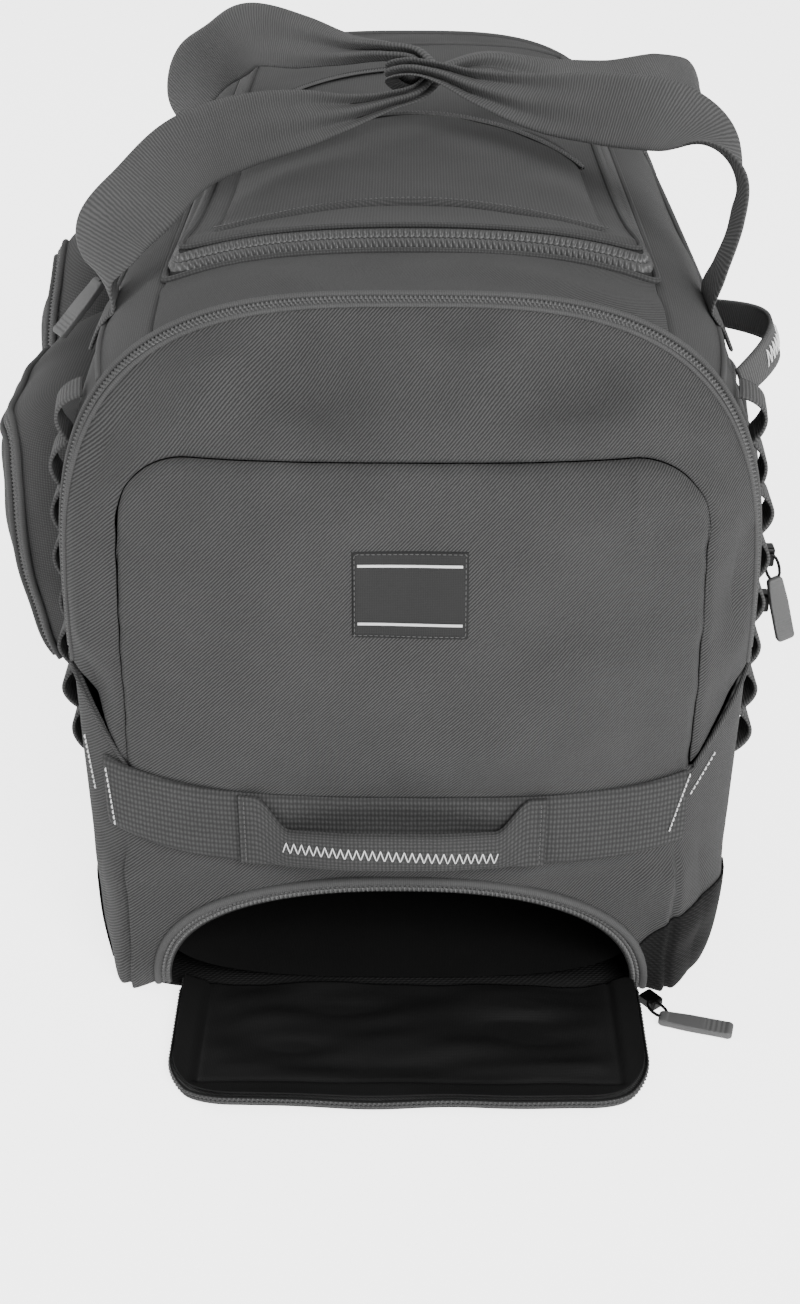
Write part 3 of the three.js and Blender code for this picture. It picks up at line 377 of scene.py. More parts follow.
boot_angle = float(angle_at_height(BOOT_HEIGHT, 0.0))
u, v = grid(130, 60)
boot = body_point(mix(boot_angle, -pi - boot_angle, u), v * BOOT_SHARE)
forward = clamp((NOSE_HALF - np.abs(boot[..., 0])) / NOSE_EASE) * (1 - v)
near_edge = boot[0, boot.shape[1] // 2, 1]
boot[..., 1] += forward * (near_point(boot[..., 0], 0 * u)[..., 1] + 0.4 - near_edge)
add_grid("boot", boot, BOOT, ["base_boot"], thick=CLOTH)

# Side panels: plain-weave cloth from the boot up to the lid zip, slightly rippled, with a piped
# seam along the shoulder where the handles are sewn in.
WEBBING_SEAM = 348
PANEL_TOP, PANEL_GIRTH = 134.6, 290
SIDES = ((-1, "left"), (1, "right"))


def sweep(path, normal, section):
    """Points of a section, given in mm across and outwards, carried along a path."""
    tangent = unit(np.gradient(path, axis=0))
    across = unit(np.cross(normal, tangent))
    out = np.cross(tangent, across)
    return path[:, None] + across[:, None] * section[..., 0:1] + out[:, None] * section[..., 1:2]


def run_length(path):
    """Length in mm along a path at each of its points."""
    return np.concatenate([[0], np.cumsum(np.linalg.norm(np.diff(path, axis=0), axis=1))])


def even(path, step, *others):
    """A path, and other rows along it, at even steps in mm."""
    length = run_length(path)
    at = np.linspace(0, length[-1], max(2, int(round(length[-1] / step)) + 1))
    return [np.stack([np.interp(at, length, column) for column in rows.T], -1) for rows in (path, *others)]


def closed_ends(rings):
    """Rings along a tube, with one drawn together at each end."""
    first, last = (np.broadcast_to(ring.mean(0), ring.shape)[None] for ring in (rings[0], rings[-1]))
    return np.concatenate([first, rings, last])


def add_pipe(name, path, normal, radius, material):
    """Round piping along a path."""
    turn = np.linspace(0, 2 * pi, 8, endpoint=False)
    section = radius * joined(np.cos(turn), np.sin(turn))
    path, normal = even(path, 3, path * 0 + normal)
    return add_grid(name, closed_ends(sweep(path, normal, section)), material, wrap=True)


def mirrored(points, side):
    """Points of the right side, moved to the left for side -1."""
    return points * np.array([side, 1, 1])


def inward(share):
    """Share of the way in from the nearer of two edges."""
    return np.minimum(share, 1 - share)


def add_seam(name, patch, a, b, out, radius, material, side=1):
    """Piping along a line of a patch, lifted by a distance in mm, on the right side or mirrored."""
    path, normal = lift(patch, a, b, out), outward(patch, a, b)
    return add_pipe(name, mirrored(path, side), mirrored(normal, side), radius, material)


for side, word in SIDES:
    u, v = grid(50, 100)
    along = mix(NEAR_RIM, FAR_RIM, v)
    angle = mix(angle_at_height(BOOT_HEIGHT + 0.4, along), angle_at_width(PANEL_TOP, along), u)
    panel = body_point(angle, v)
    normal = unit((panel - BAG_CENTRE) * np.array([1, 0, 1]))
    edge = inward(u) * PANEL_GIRTH
    ripple = folds(panel[..., 1], panel[..., 2], 11 + side, [60, 110, 190]) * clamp(edge / 30)
    panel = panel + normal * (0.9 * np.clip(ripple, -1.2, 1.2) - 0.9)[..., None]
    add_grid(f"side_{word}", mirrored(panel, side), PLAIN, [f"side_panel_{word}"], thick=CLOTH)
    y = np.linspace(near_rim(WEBBING_SEAM) + 8, far_rim(WEBBING_SEAM) - 8, 120)
    add_seam(f"side_piping_{word}", side_point, np.full(120, WEBBING_SEAM), y, -0.8, 1.9, BINDING, side)
    add_seam(f"boot_piping_{word}", side_point, np.full(120, BOOT_HEIGHT), y, -0.2, 1.5, BINDING, side)

# Lid: plain-weave panel inside the main zip, lifted along its near edge, with a seam round its
# border; the collars join it to the ends. The zip is a wide coil that climbs from collar to lid.
LID_HALF, LID_NEAR, LID_FAR, LID_BOW, LID_CORNER, LID_POWER = 123, -288, 300, 28, 26, 5
LID_RAISE, LID_FADE = 11, 60
MAIN_ZIP = 10
SIDE_SHARE = 0.25
TOOTH_STEPS = 6
# Zip tape: thin and close-woven, flatter and darker than the cloth.
ZIP_TAPE = surface("grey zip tape", "#303030", 0.8, [("X", 1.1)], 0.2, 0.15)
# Moulded nylon: smooth, so each tooth catches a small highlight.
ZIP_COIL = surface("grey nylon zip coil", "#484848", 0.45)


def lid_edge(share, out):
    """Edge of the lid in plan, moved out: straight sides, rounded near corners and a bowed near
    edge. The share runs from the right hinge round to the left one."""
    share = np.asarray(share, float)
    half, corner_end = LID_HALF + out, LID_NEAR - out + LID_CORNER
    across = np.sin(pi * (0.5 - clamp((share - SIDE_SHARE) / (1 - 2 * SIDE_SHARE))))
    curl = 1 - (1 - np.abs(across) ** LID_POWER) ** (1 / LID_POWER)
    y = LID_NEAR - out + LID_BOW * (1 - across ** 2) + LID_CORNER * curl
    back = np.maximum(np.maximum(SIDE_SHARE - share, share - 1 + SIDE_SHARE), 0) / SIDE_SHARE
    return half * across, np.where(back > 0, mix(corner_end, LID_FAR, back), y)


def lid_raise(y):
    """Lift of the lid over the tube: full along its near edge, fading towards the hinge."""
    return LID_RAISE * np.exp(-np.maximum(0, y - LID_NEAR - LID_BOW) / LID_FADE)


def add_zip(name, inner, outer, coil, pitch, rise, nodes=(), facing=None, tape=ZIP_TAPE, teeth=ZIP_COIL):
    """A zip between two edges: a tape that spans them, and along its middle two rows of round
    teeth that mesh, at a pitch in mm. A row is half a circle across, cut down between its teeth."""
    middle = (inner + outer) / 2
    up = unit(np.cross(np.gradient(middle, axis=0), outer - inner))
    up = up * np.sign(np.sum(up * (middle - BAG_CENTRE if facing is None else facing), -1, keepdims=True))
    line, tape_in, tape_out, out = even(middle, 3, inner, outer, up)
    strip = np.stack([tape_in, line + 0.4 * out, tape_out], 1)
    add_grid(name + "_tape", strip, tape, nodes, thick=0.6)
    line, out = even(middle, pitch / TOOTH_STEPS, up)
    across = np.linspace(-1, 1, 9)
    row = np.sqrt(clamp(1 - ((np.abs(across) - 0.5) / 0.5) ** 2))
    phase = 2 * pi * np.arange(len(line))[:, None] / TOOTH_STEPS
    phase = phase + np.where(across > 0, pi, 0) + 1.8 * np.abs(across)
    height = 0.2 + rise * row * (0.1 + 0.9 * (0.5 + 0.5 * np.cos(phase)))
    coils = sweep(line, out, joined(across * coil / 2, height))
    return add_grid(name + "_coil", coils, teeth)


def add_panel(name, patch, a, b, out, material, node_name, flip=1):
    """A cloth panel lifted off a patch in place of a CAD node; flipped, its ribs climb to the right."""
    cloth = joined(flip * a, b)
    return add_grid(name, lift(patch, a, b, out), material, [node_name], cloth, CLOTH)


def softened(rows, window):
    """Rows along a line, each the mean of its neighbours in the window."""
    padded = np.pad(rows, ((window // 2, window // 2), (0, 0)), mode="edge")
    return np.stack([np.convolve(column, np.ones(window) / window, mode="valid") for column in padded.T], -1)


u, v = grid(120, 100)
x, y_edge = lid_edge(mix(SIDE_SHARE, 1 - SIDE_SHARE, u), 0)
y = mix(y_edge, LID_FAR, v ** 2)
border = np.minimum(LID_HALF - np.abs(x), y - y_edge)
lid_out = lid_raise(y) + 0.6 * folds(x, y, 21, [60, 110, 180]) * clamp(border / 40)
add_panel("lid_cloth", top_point, x, y, lid_out, PLAIN, "lid")

share = np.linspace(0, 1, 900)
x, y = lid_edge(share, 0.8)
zip_in = softened(lift(top_point, x, y, lid_raise(y) + 0.4), 13)
x, y = lid_edge(share, 0.4 + MAIN_ZIP)
zip_out = softened(lift(top_point, x, y, 0.4), 13)
add_zip("main_zip", zip_in, zip_out, 11, 3.2, 2.4, ["main_zip"])
welt_up = unit(np.cross(np.gradient(zip_in, axis=0), zip_out - zip_in))
add_pipe("main_zip_welt_inner", zip_in + np.array([0, 0, 0.4]), welt_up, 1.6, PLAIN)
x, y = lid_edge(share, MAIN_ZIP + 2.4)
welt = softened(lift(top_point, x, y, 0.4), 13)
add_pipe("main_zip_welt_outer", welt, outward(top_point, x, y), 2.2, PLAIN)

u, v = grid(130, 40)
x, y = lid_edge(mix(SIDE_SHARE, 1 - SIDE_SHARE, u), MAIN_ZIP + 0.8)
rim_y = near_rim(top_point(x, 0 * x + NEAR_RIM + NEAR_LEAN)[..., 2]) + RIM_SETBACK + 1.2
y = mix(rim_y, y, v)
collar_out = (2.0 * folds(x, y, 23, [45, 80, 140]) + 1.0) * np.sin(pi * v)
add_panel("near_collar_cloth", top_point, x, y, collar_out, TWILL, "near_collar", -1)
u, v = grid(90, 24)
x = mix(PANEL_TOP - 0.8, 0.8 - PANEL_TOP, u)
rim_y = far_rim(top_point(x, 0 * x + FAR_RIM - FAR_LEAN)[..., 2]) - FAR_SETBACK - 1.2
y = mix(LID_FAR + 0.4, rim_y, v)
collar_out = 1.2 * folds(x, y, 24, [60, 120]) * np.sin(pi * v)
add_panel("far_collar_cloth", top_point, x, y, collar_out, PLAIN, "far_collar")
x = np.linspace(1 - LID_HALF, LID_HALF - 1, 120)
add_seam("lid_hinge_piping", top_point, x, np.full(120, LID_FAR - 1.0), 0.4, 1.8, BINDING)

# Lid pocket: a lifted panel with rounded near corners, closed behind by an arched zip over black lining
# laid as painted shade, and a second arched zip further back. The panel is sewn down along its bowed near
# edge.
POCKET_HALF, POCKET_NEAR, POCKET_NEAR_BOW, POCKET_CORNER = 108, -268, 78, 18
POCKET_REAR, POCKET_REAR_BOW, POCKET_LIFT, POCKET_ZIP = -100, 84, 12, 6
# Shares along the pocket's rear edge, and the width in mm, of the painted-shade slit behind its zip
SHADE_SLIT_FROM, SHADE_SLIT_TO, SHADE_SLIT_WIDTH = 0.04, 0.3, 13
REAR_ZIP_HALF, REAR_ZIP_FOOT, REAR_ZIP_BOW = 93, 109, 80
# Sewing thread: single strands, a shade lighter than the cloth they cross.
GREY_THREAD = surface("grey thread", "#4e4e4e", 0.6)
# Coated lining: black and close-woven, with a low sheen from its coat.
LINING = surface("black coated lining", "#181818", 0.5, [("X", 0.9), ("Y", 0.9)], 0.3, 0.1)


def add_threads(name, starts, ends, normal, radius, material):
    """Single stitches from starts to ends: thin rounded bars that dip at both ends."""
    middle, run = (starts + ends) / 2, ends - starts
    across = unit(np.cross(normal, run))
    turn = np.linspace(0, 2 * pi, 6, endpoint=False)[None, None, :, None]
    at = np.array([-0.5, -0.4, 0, 0.4, 0.5])[None, :, None, None]
    thick = radius * np.array([0.15, 0.8, 1, 0.8, 0.15])[None, :, None, None]
    rise = radius * np.array([-0.6, 0.4, 0.9, 0.4, -0.6])[None, :, None, None]
    spin = across[:, None, None] * np.cos(turn) + normal[:, None, None] * np.sin(turn)
    points = middle[:, None, None] + run[:, None, None] * at + normal[:, None, None] * rise + spin * thick
    return add_grid(name, points, material, wrap=True)


def add_stitches(name, patch, a, b, out, length, gap, radius, material):
    """A row of even stitches along a line of a patch, lifted off it."""
    line, up = even(lift(patch, a, b, out), length + gap, outward(patch, a, b))
    run = unit(np.gradient(line, axis=0)) * length / 2
    return add_threads(name, line - run, line + run, unit(up), radius, material)


def pocket_place(u, v):
    """Place on the lid pocket in plan, from its bowed near edge with rounded corners to its arched
    rear edge."""
    x = POCKET_HALF * np.sin(pi / 2 * mix(1, -1, u))
    side = clamp(np.abs(x) / POCKET_HALF)
    curl = 1 - (1 - side ** LID_POWER) ** (1 / LID_POWER)
    near = POCKET_NEAR + POCKET_NEAR_BOW * (1 - side ** 2) + POCKET_CORNER * curl
    return x, mix(near, POCKET_REAR + POCKET_REAR_BOW * (1 - side ** 2), v)


def pocket_lift(u, v):
    """Height of the pocket's outer face over the tube: on the lid at its sides and near edge and
    highest at the middle of its rear edge."""
    rise = POCKET_LIFT * np.sin(pi * u) ** 1.2 * np.sin(pi / 2 * v)
    return 0.8 + CLOTH + rise + lid_raise(pocket_place(u, v)[1])


u, v = grid(110, 70)
x, y = pocket_place(u, v)
edge = np.minimum(POCKET_HALF - np.abs(x), y - pocket_place(u, 0 * v)[1])
hump = np.sqrt(1 - (1 - clamp(edge / 6)) ** 2) - 1
pocket_out = pocket_lift(u, v) + 3.6 * hump + 1.0 * folds(x, y, 31, [40, 80, 140]) * clamp(edge / 20)
add_panel("lid_pocket_cloth", top_point, x, y, pocket_out, PLAIN, "lid_pocket")
u = np.linspace(0.03, 0.97, 300)
x, y = pocket_place(u, 0 * u + 0.03)
add_stitches("lid_pocket_stitches", top_point, x, y, pocket_lift(u, 0 * u + 0.03) - 0.3,
             2.2, 1.0, 0.4, GREY_THREAD)
u = np.linspace(0.02, 0.98, 260)
x, y = pocket_place(u, 1 + 0 * u)
rear_lift = pocket_lift(u, 1 + 0 * u) + 0.5
zip_in = lift(top_point, x, y - 0.6, rear_lift)
zip_out = lift(top_point, x, y + 0.8 + POCKET_ZIP, rear_lift - 0.2)
add_zip("lid_pocket_zip", zip_in, zip_out, 5, 2.4, 2.0, ["lid_pocket_zip"])
# Painted shade: a black lining sheet behind the zip's right end, widest in its middle, where the raised zip
# shades the lid.
shade_grid_u, shade_grid_v = grid(60, 6)
shade_slit_u = mix(SHADE_SLIT_FROM, SHADE_SLIT_TO, shade_grid_u)
shade_slit_x, shade_slit_y = pocket_place(shade_slit_u, 1 + 0 * shade_slit_u)
shade_slit_y = shade_slit_y + 1 + POCKET_ZIP + SHADE_SLIT_WIDTH * shade_grid_v * np.sin(pi * shade_grid_u) ** 0.7
shade_slit = lift(top_point, shade_slit_x, shade_slit_y, pocket_lift(shade_slit_u, 1 + 0 * shade_slit_u) + 0.8)
add_grid("lid_pocket_shade_slit", shade_slit, LINING, thick=0.6)
# Painted shade: a black lining strip from the zip's rear edge down to the lid, where the raised pocket edge
# casts shade.
shelf = np.linspace(0, 1, 6)[:, None]
x, y = np.broadcast_arrays(x, y + mix(1.0 + POCKET_ZIP, 15, shelf))
gap = lift(top_point, x, y, mix(rear_lift - 1, 0.8, shelf))
add_grid("lid_pocket_shade_strip", gap, LINING, thick=0.6)
x = np.linspace(REAR_ZIP_HALF, -REAR_ZIP_HALF, 160)
y = REAR_ZIP_FOOT + REAR_ZIP_BOW * (1 - (x / REAR_ZIP_HALF) ** 2)
zip_in, zip_out = (lift(top_point, x, y + across, 1.4) for across in (0, 6))
add_zip("rear_lid_zip", zip_in, zip_out, 4.5, 2.4, 1.4, ["rear_lid_zip"])
add_pipe("rear_lid_welt", lift(top_point, x, y + 8, 1.2), outward(top_point, x, y), 1.8, PLAIN)

# Near end: twill panel inside the arched end zip, and the padded panel sewn to it along a rounded
# seam with small puckers. A bare woven patch is sewn on the padded panel.
PAD_HALF, PAD_TOP, PAD_BOTTOM, PAD_CORNER, PAD_CROWN = 156, 325, 147, 42, 4
PAD_FOOT, PAD_HIDDEN = 141, 129
SEAM_RIM_HEIGHT, ZIP_INSET = 196, 0.98
LABEL_HALF, LABEL_BOTTOM, LABEL_TOP = 30, 238, 283
# Woven patch: fine and flat, darker than the twill it is sewn on.
LABEL = surface("woven patch", "#2f2f2f", 0.7, [("X", 0.9), ("Y", 0.9)], 0.2, 0.15)
# White polyester thread: the brightest thing on the bag, with a soft shine.
WHITE = surface("white thread", "#dedede", 0.6)


def pad_outline(share, out):
    """Outline of the padded panel from its right foot over the top to its left foot."""
    share = np.asarray(share, float)
    half, radius = PAD_HALF + out, PAD_CORNER + out
    shoulder = PAD_TOP - PAD_CORNER
    post, arc = shoulder - PAD_BOTTOM, pi / 2 * PAD_CORNER
    total = post + arc + PAD_HALF - PAD_CORNER
    run = inward(share) * 2 * total
    turn = np.clip((run - post) / PAD_CORNER, 0, pi / 2)
    x = np.where(run < post + arc, half - radius + radius * np.cos(turn), total - run)
    z = np.where(run < post, PAD_BOTTOM + run, shoulder + radius * np.sin(turn))
    return np.where(share <= 0.5, 1, -1) * x, z


def pad_depth(x, z):
    """Distance inside the padded panel's seam, negative outside it."""
    side, top = np.abs(x) - PAD_HALF + PAD_CORNER, z - PAD_TOP + PAD_CORNER
    round_corner = PAD_CORNER - np.hypot(np.maximum(side, 0), np.maximum(top, 0))
    return np.where((side > 0) | (top > 0), round_corner, PAD_CORNER - np.maximum(side, top))


def puckers(x, z, depth):
    """Small folds that leave a seam square to it and die out with the distance from it."""
    along = np.where(np.abs(x) > PAD_HALF - PAD_CORNER, np.sign(x) * (PAD_HALF + PAD_TOP - z), x)
    wave = folds(along, 0 * along, 41, [17, 29, 46])
    corner = np.hypot(np.abs(x) - PAD_HALF + 14, z - PAD_TOP + 14)
    return wave * np.exp(-np.abs(depth) / 15) * (1 + 1.2 * np.exp(-(corner / 40) ** 2))


def pad_out(x, z):
    """Stuffed height of the padded panel: a flat crown, rolled in at the seam, with puckers."""
    depth = pad_depth(x, z)
    across = np.clip(x / PAD_HALF, -1, 1)
    upward = np.clip((2 * z - PAD_TOP - PAD_HIDDEN) / (PAD_TOP - PAD_HIDDEN), -1, 1)
    crown = PAD_CROWN * (1 - across ** 4) * (1 - upward ** 4)
    seam = -2.4 * np.exp(-(depth / 3.2) ** 2)
    inside = clamp(np.minimum(depth, z - PAD_FOOT) / 30)
    return crown + seam + 1.1 * puckers(x, z, depth) + 2.2 * folds(x, z, 42, [45, 80, 140]) * inside


def zip_seam(rim):
    """Inner edge of the end zip, across and up, for points of the rim."""
    return rim[..., 0] * ZIP_INSET, WIDEST + (rim[..., 2] - WIDEST) * ZIP_INSET


start = float(angle_at_height(SEAM_RIM_HEIGHT, NEAR_RIM))
u, v = grid(280, 44)
pad_x, pad_z = pad_outline(u, 0.6)
rim_x, rim_z = zip_seam(body_point(mix(start, pi - start, u), 0 * u))
x, z = mix(pad_x, rim_x, v), mix(pad_z, rim_z, v)
depth = -pad_depth(x, z)
panel_out = 4.2 * folds(x, z, 43, [40, 65, 110]) * clamp(depth / 25) * clamp((1 - v) / 0.3)
panel_out += 0.8 * puckers(x, z, depth) - 2.2 * np.exp(-(depth / 2.6) ** 2)
add_panel("end_panel_cloth", near_point, x, z, panel_out, TWILL, "end_panel", -1)

u, v = grid(190, 104)
x = mix(PAD_HALF, -PAD_HALF, u)
corner = np.maximum(0, np.abs(x) - PAD_HALF + PAD_CORNER)
z = mix(PAD_FOOT, PAD_TOP - PAD_CORNER + np.sqrt(np.maximum(PAD_CORNER ** 2 - corner ** 2, 0)), v)
pad = add_panel("end_pad_cloth", near_point, x, z, pad_out(x, z), TWILL, "end_pad", -1)

u, v = grid(40, 30)
x, z = mix(LABEL_HALF, -LABEL_HALF, u), mix(LABEL_BOTTOM, LABEL_TOP, v)
edge = np.minimum(inward(u) * 2 * LABEL_HALF, inward(v) * (LABEL_TOP - LABEL_BOTTOM))
label = lift(near_point, x, z, pad_out(x, z) + 0.9 * clamp(edge / 1.2) ** 0.5)
add_grid("label_cloth", label, LABEL, ["label_patch"], thick=0.5)
corners = np.array([(-1, 0), (-1, 1), (1, 1), (1, 0), (-1, 0)], float)
x, z = corners[:, 0] * (LABEL_HALF - 1.4), mix(LABEL_BOTTOM + 1.4, LABEL_TOP - 1.4, corners[:, 1])
x, z = (np.concatenate([np.linspace(a, b, 30) for a, b in zip(way[:-1], way[1:])]) for way in (x, z))
add_stitches("label_stitches", near_point, x, z, pad_out(x, z) + 0.9,
             2.0, 0.8, 0.28, GREY_THREAD)
u, v = grid(60, 4)
for name, z0 in (("label_line_low", 245), ("label_line_high", 275)):
    x, z = mix(LABEL_HALF - 3, 3 - LABEL_HALF, u), z0 + 1.3 * v
    add_grid(name, lift(near_point, x, z, pad_out(x, z) + 1.4), WHITE, thick=0.5)

rim = body_point(np.linspace(start, pi - start, 500), 0)
inner = near_point(*zip_seam(rim))
up = unit(np.cross(np.gradient(rim, axis=0), rim - inner))
up *= np.sign(np.sum(up * (rim - BAG_CENTRE), -1, keepdims=True))
add_zip("end_zip", inner, rim, 4.6, 2.3, 1.8, ["end_zip"])
add_pipe("end_zip_welt_inner", inner + up * 0.2, up, 1.3, BINDING)
add_pipe("end_zip_welt_outer", rim + up * 0.4, up, 1.9, BINDING)

# Lower end: twill panel from the slanted seams down to the arched mouth, with corners of the dark
# base cloth sewn over it. The mouth's zip is edged with piping.
MOUTH_CENTRE, MOUTH_HALF, MOUTH_HEIGHT, MOUTH_POWER, MOUTH_ZIP = -5, 133, 77, 2.4, 7
RIM_PART, SEAM_PART = 0.15, 0.225
FLOOR_GAP, HELD_HEIGHT = 3.2, 104
FOLD_RIGHT, FOLD_LEFT, FOLD_REACH = 145, -156, 20


def rounded(value, power):
    """A sine or cosine raised to a power, with its sign kept: below 1 the curve turns squarer."""
    return np.sign(value) * np.abs(value) ** power


def mouth_place(u, out):
    """Arch of the mouth, moved out, from its right foot to its left one: a superellipse."""
    power = 2 / MOUTH_POWER
    x = MOUTH_CENTRE + rounded(np.cos(pi * u), power) * (MOUTH_HALF + out)
    return x, FLOOR_GAP + np.abs(np.sin(pi * u)) ** power * (MOUTH_HEIGHT + out - FLOOR_GAP)


def lower_place(u, v):
    """Place on the lower end between the mouth and the outline, which runs up the rim, in along
    the slanted seam and across under the padded panel."""
    share = inward(u)
    rim_z = np.clip(mix(FLOOR_GAP, SEAM_RIM_HEIGHT, share / RIM_PART), 0, SEAM_RIM_HEIGHT)
    slant = clamp((share - RIM_PART) / (SEAM_PART - RIM_PART))
    level = clamp((share - SEAM_PART) / (0.5 - SEAM_PART))
    seam_x = PAD_HALF + 1
    out_x = np.where(share < SEAM_PART, mix(half_width(rim_z, NEAR_RIM), seam_x, slant), seam_x * (1 - level))
    out_z = np.where(share < SEAM_PART, mix(rim_z, PAD_BOTTOM - 1, slant), PAD_BOTTOM - 1)
    mouth_x, mouth_z = mouth_place(u, MOUTH_ZIP + 0.8)
    return mix(mouth_x, np.where(u <= 0.5, 1, -1) * out_x, v), mix(mouth_z, out_z, v)


def turned(x, z):
    """Near end whose cloth turns back a little at the rim to meet the tube."""
    point = near_point(x, z)
    side = np.minimum(1, np.abs(point[..., 0]) / half_width(z, NEAR_RIM)) ** 60
    point[..., 1] += (RIM_SETBACK - 1.2) * side
    return point


def lower_out(x, z):
    """Creases of the lower end's cloth, which the band above holds flat, and at each side an upright
    ridge where the cloth turns the corner."""
    past = np.where(x > 0, x - FOLD_RIGHT, FOLD_LEFT - x)
    ridge = 8 * clamp(1 - np.abs(past) / FOLD_REACH) - 4 * np.exp(-((past - 3) / 1.8) ** 2)
    return (3.6 * folds(x, z, 51, [34, 60, 100]) + ridge) * np.clip((HELD_HEIGHT - z) / 20, 0.2, 1)


u, v = grid(400, 40)
x, z = lower_place(u, v)
lower_lift = lower_out(x, z) * np.sin(pi * v) - 1.6 * np.exp(-((1 - v) * 20) ** 2)
add_panel("lower_end_cloth", turned, x, z, lower_lift, TWILL, "lower_end_panel", -1)
u, v = grid(28, 34)
corners = {"right": (u * mix(0.1, 0.042, v), v), "left": (1 - 0.037 * u, mix(0.845 + 0.155 * u, 1, v))}
for word, (corner_u, corner_v) in corners.items():
    x, z = lower_place(corner_u, corner_v)
    corner = lift(turned, x, z, lower_out(x, z) * np.sin(pi * corner_v) + 1.2)
    add_grid(f"boot_corner_{word}", corner, BOOT, uv=joined(x, z), thick=1.0)
x, z = lower_place(mix(RIM_PART, SEAM_PART, np.linspace(0, 1, 40)), np.full(40, 1.0))
for side, word in SIDES:
    add_seam(f"lower_seam_{word}", turned, x, z, 0.2, 1.2, TWILL, side)

share = np.linspace(0, 1, 500)
zip_in, zip_out = (near_point(*mouth_place(share, out)) for out in (0.4, MOUTH_ZIP + 0.4))
add_zip("bat_zip", zip_in, zip_out, 5.5, 2.6, 1.8, ["bat_zip"])
add_seam("bat_zip_welt", near_point, *mouth_place(share, MOUTH_ZIP + 1.2), 0.6, 2.6, BINDING)

# Grab handle: webbing band sewn across the end with its ends tucked in the seams, and a second
# length over it, folded in half and sewn with white zigzag stitches into a standing grip.
BAND_LEFT, BAND_RIGHT, BAND_BOTTOM, BAND_TOP, BAND_BED, BAND_RISE = -168, 152, 98, 142, 1.8, 7
GRIP_LEFT, GRIP_RIGHT, GRIP_FOLDED, GRIP_STAND, GRIP_CLIMB = -92, 74, 20, 17, 0.58
ZIGZAG_LEFT, ZIGZAG_RIGHT, ZIGZAG_LEVEL, ZIGZAG_SLANT, ZIGZAG_HALF = -68, 48, 110, 0.05, 3.4
# Polypropylene webbing: matt, with ribs across its length.
WEB = surface("grey ribbed webbing", "#464646", 0.8, [("Y", 2.1)], 0.5, 0.6, sheen=0.04)
# The band's webbing: a coarser weave that shows as a small grid of blocks.
BAND = surface("grey band webbing", "#3d3d3d", 0.8, [("Y", 2.1), ("X", 3.2)], 0.5, 0.6, sheen=0.04)


def band_rise(x):
    """Lift of the band towards its ends."""
    return BAND_RISE * (x / BAND_LEFT) ** 4


u, v = grid(220, 16)
x = mix(BAND_RIGHT, BAND_LEFT, u)
z = mix(BAND_BOTTOM, BAND_TOP, v) + band_rise(x)
band_out = BAND_BED + 2.2 - 1.2 * np.abs(2 * v - 1) ** 8 + 0.5 * folds(x, z, 61, [40, 90])
add_grid("grab_band_web", lift(near_point, x, z, band_out), BAND, ["grab_band"],
         uv=joined(z, x), thick=2.2)


def smooth(share):
    """Soft step from 0 to 1, level at both ends."""
    share = clamp(share)
    return share * share * (3 - 2 * share)


def grip_fold(x):
    """Share of the grip's fold along it: none at its sewn ends, full after a short slant."""
    inside = (GRIP_RIGHT - GRIP_LEFT) / 2 - np.abs(x - (GRIP_RIGHT + GRIP_LEFT) / 2)
    return smooth((inside - 8) / 20)


def grip_stand(x):
    """Stand of the grip off the band."""
    return GRIP_STAND * np.minimum(1, 1.25 * np.sin(pi * (GRIP_RIGHT - x) / (GRIP_RIGHT - GRIP_LEFT)) ** 2)


u, v = grid(180, 25)
x = mix(GRIP_RIGHT, GRIP_LEFT, u)
fold = grip_fold(x)
top = BAND_TOP - GRIP_FOLDED * fold
turn = mix(-pi / 2, pi / 2, v)
level = mix(v, 0.5 + 0.5 * np.sin(turn), fold)
z = mix(BAND_BOTTOM + 1, top, level) + band_rise(x) + GRIP_CLIMB * grip_stand(x)
bed = BAND_BED + 3.0 + grip_stand(x)
front = lift(near_point, x, z, bed + mix(2.2, 5.2 * np.cos(turn) ** 0.5, fold))
back = lift(near_point, x, z, bed - 0.6 * np.cos(turn))
grip = np.concatenate([front, back[::-1]])
length = np.concatenate([v, 2 - v[::-1]]) * (BAND_TOP - BAND_BOTTOM)
add_grid("grab_grip_web", np.moveaxis(grip, 0, 1), BAND, ["grab_grip"],
         uv=np.moveaxis(joined(length, np.concatenate([x, x[::-1]])), 0, 1), wrap=True)

count = 56
x = np.linspace(ZIGZAG_LEFT, ZIGZAG_RIGHT, count)
z = ZIGZAG_LEVEL - ZIGZAG_SLANT * x + np.where(np.arange(count) % 2, ZIGZAG_HALF, -ZIGZAG_HALF)
z = z + band_rise(x) + GRIP_CLIMB * grip_stand(x)
zigzag = lift(near_point, x, z, BAND_BED + 3.2 + grip_stand(x) + 5.0)
add_threads("grip_zigzag", zigzag[:-1], zigzag[1:], outward(near_point, x, z)[:-1], 0.38, WHITE)
# Rows: where each white tack starts and ends on the near end, and its height over the cloth
TACKS = {"tack_left": (-166, 141, -163, 108, 4.4), "tack_right": (152, 144, 143, 112, 4.4),
         "tack_far_left": (-181, 152, -177, 122, 1.0), "tack_far_right": (168, 150, 156, 130, 1.0)}
for name, (x0, z0, x1, z1, height) in TACKS.items():
    x, z = np.linspace(x0, x1, 30), np.linspace(z0, z1, 30)
    add_stitches(name, near_point, x, z, height, 2.6, 0.6, 0.5, WHITE)
for name, x0 in (("grip_tack_left", GRIP_LEFT + 3), ("grip_tack_right", GRIP_RIGHT - 3)):
    x, z = np.full(20, x0), np.linspace(BAND_BOTTOM + 4, BAND_TOP - 4, 20) + band_rise(x0)
    add_stitches(name, near_point, x, z, BAND_BED + 5.4, 2.2, 0.8, 0.35, GREY_THREAD)

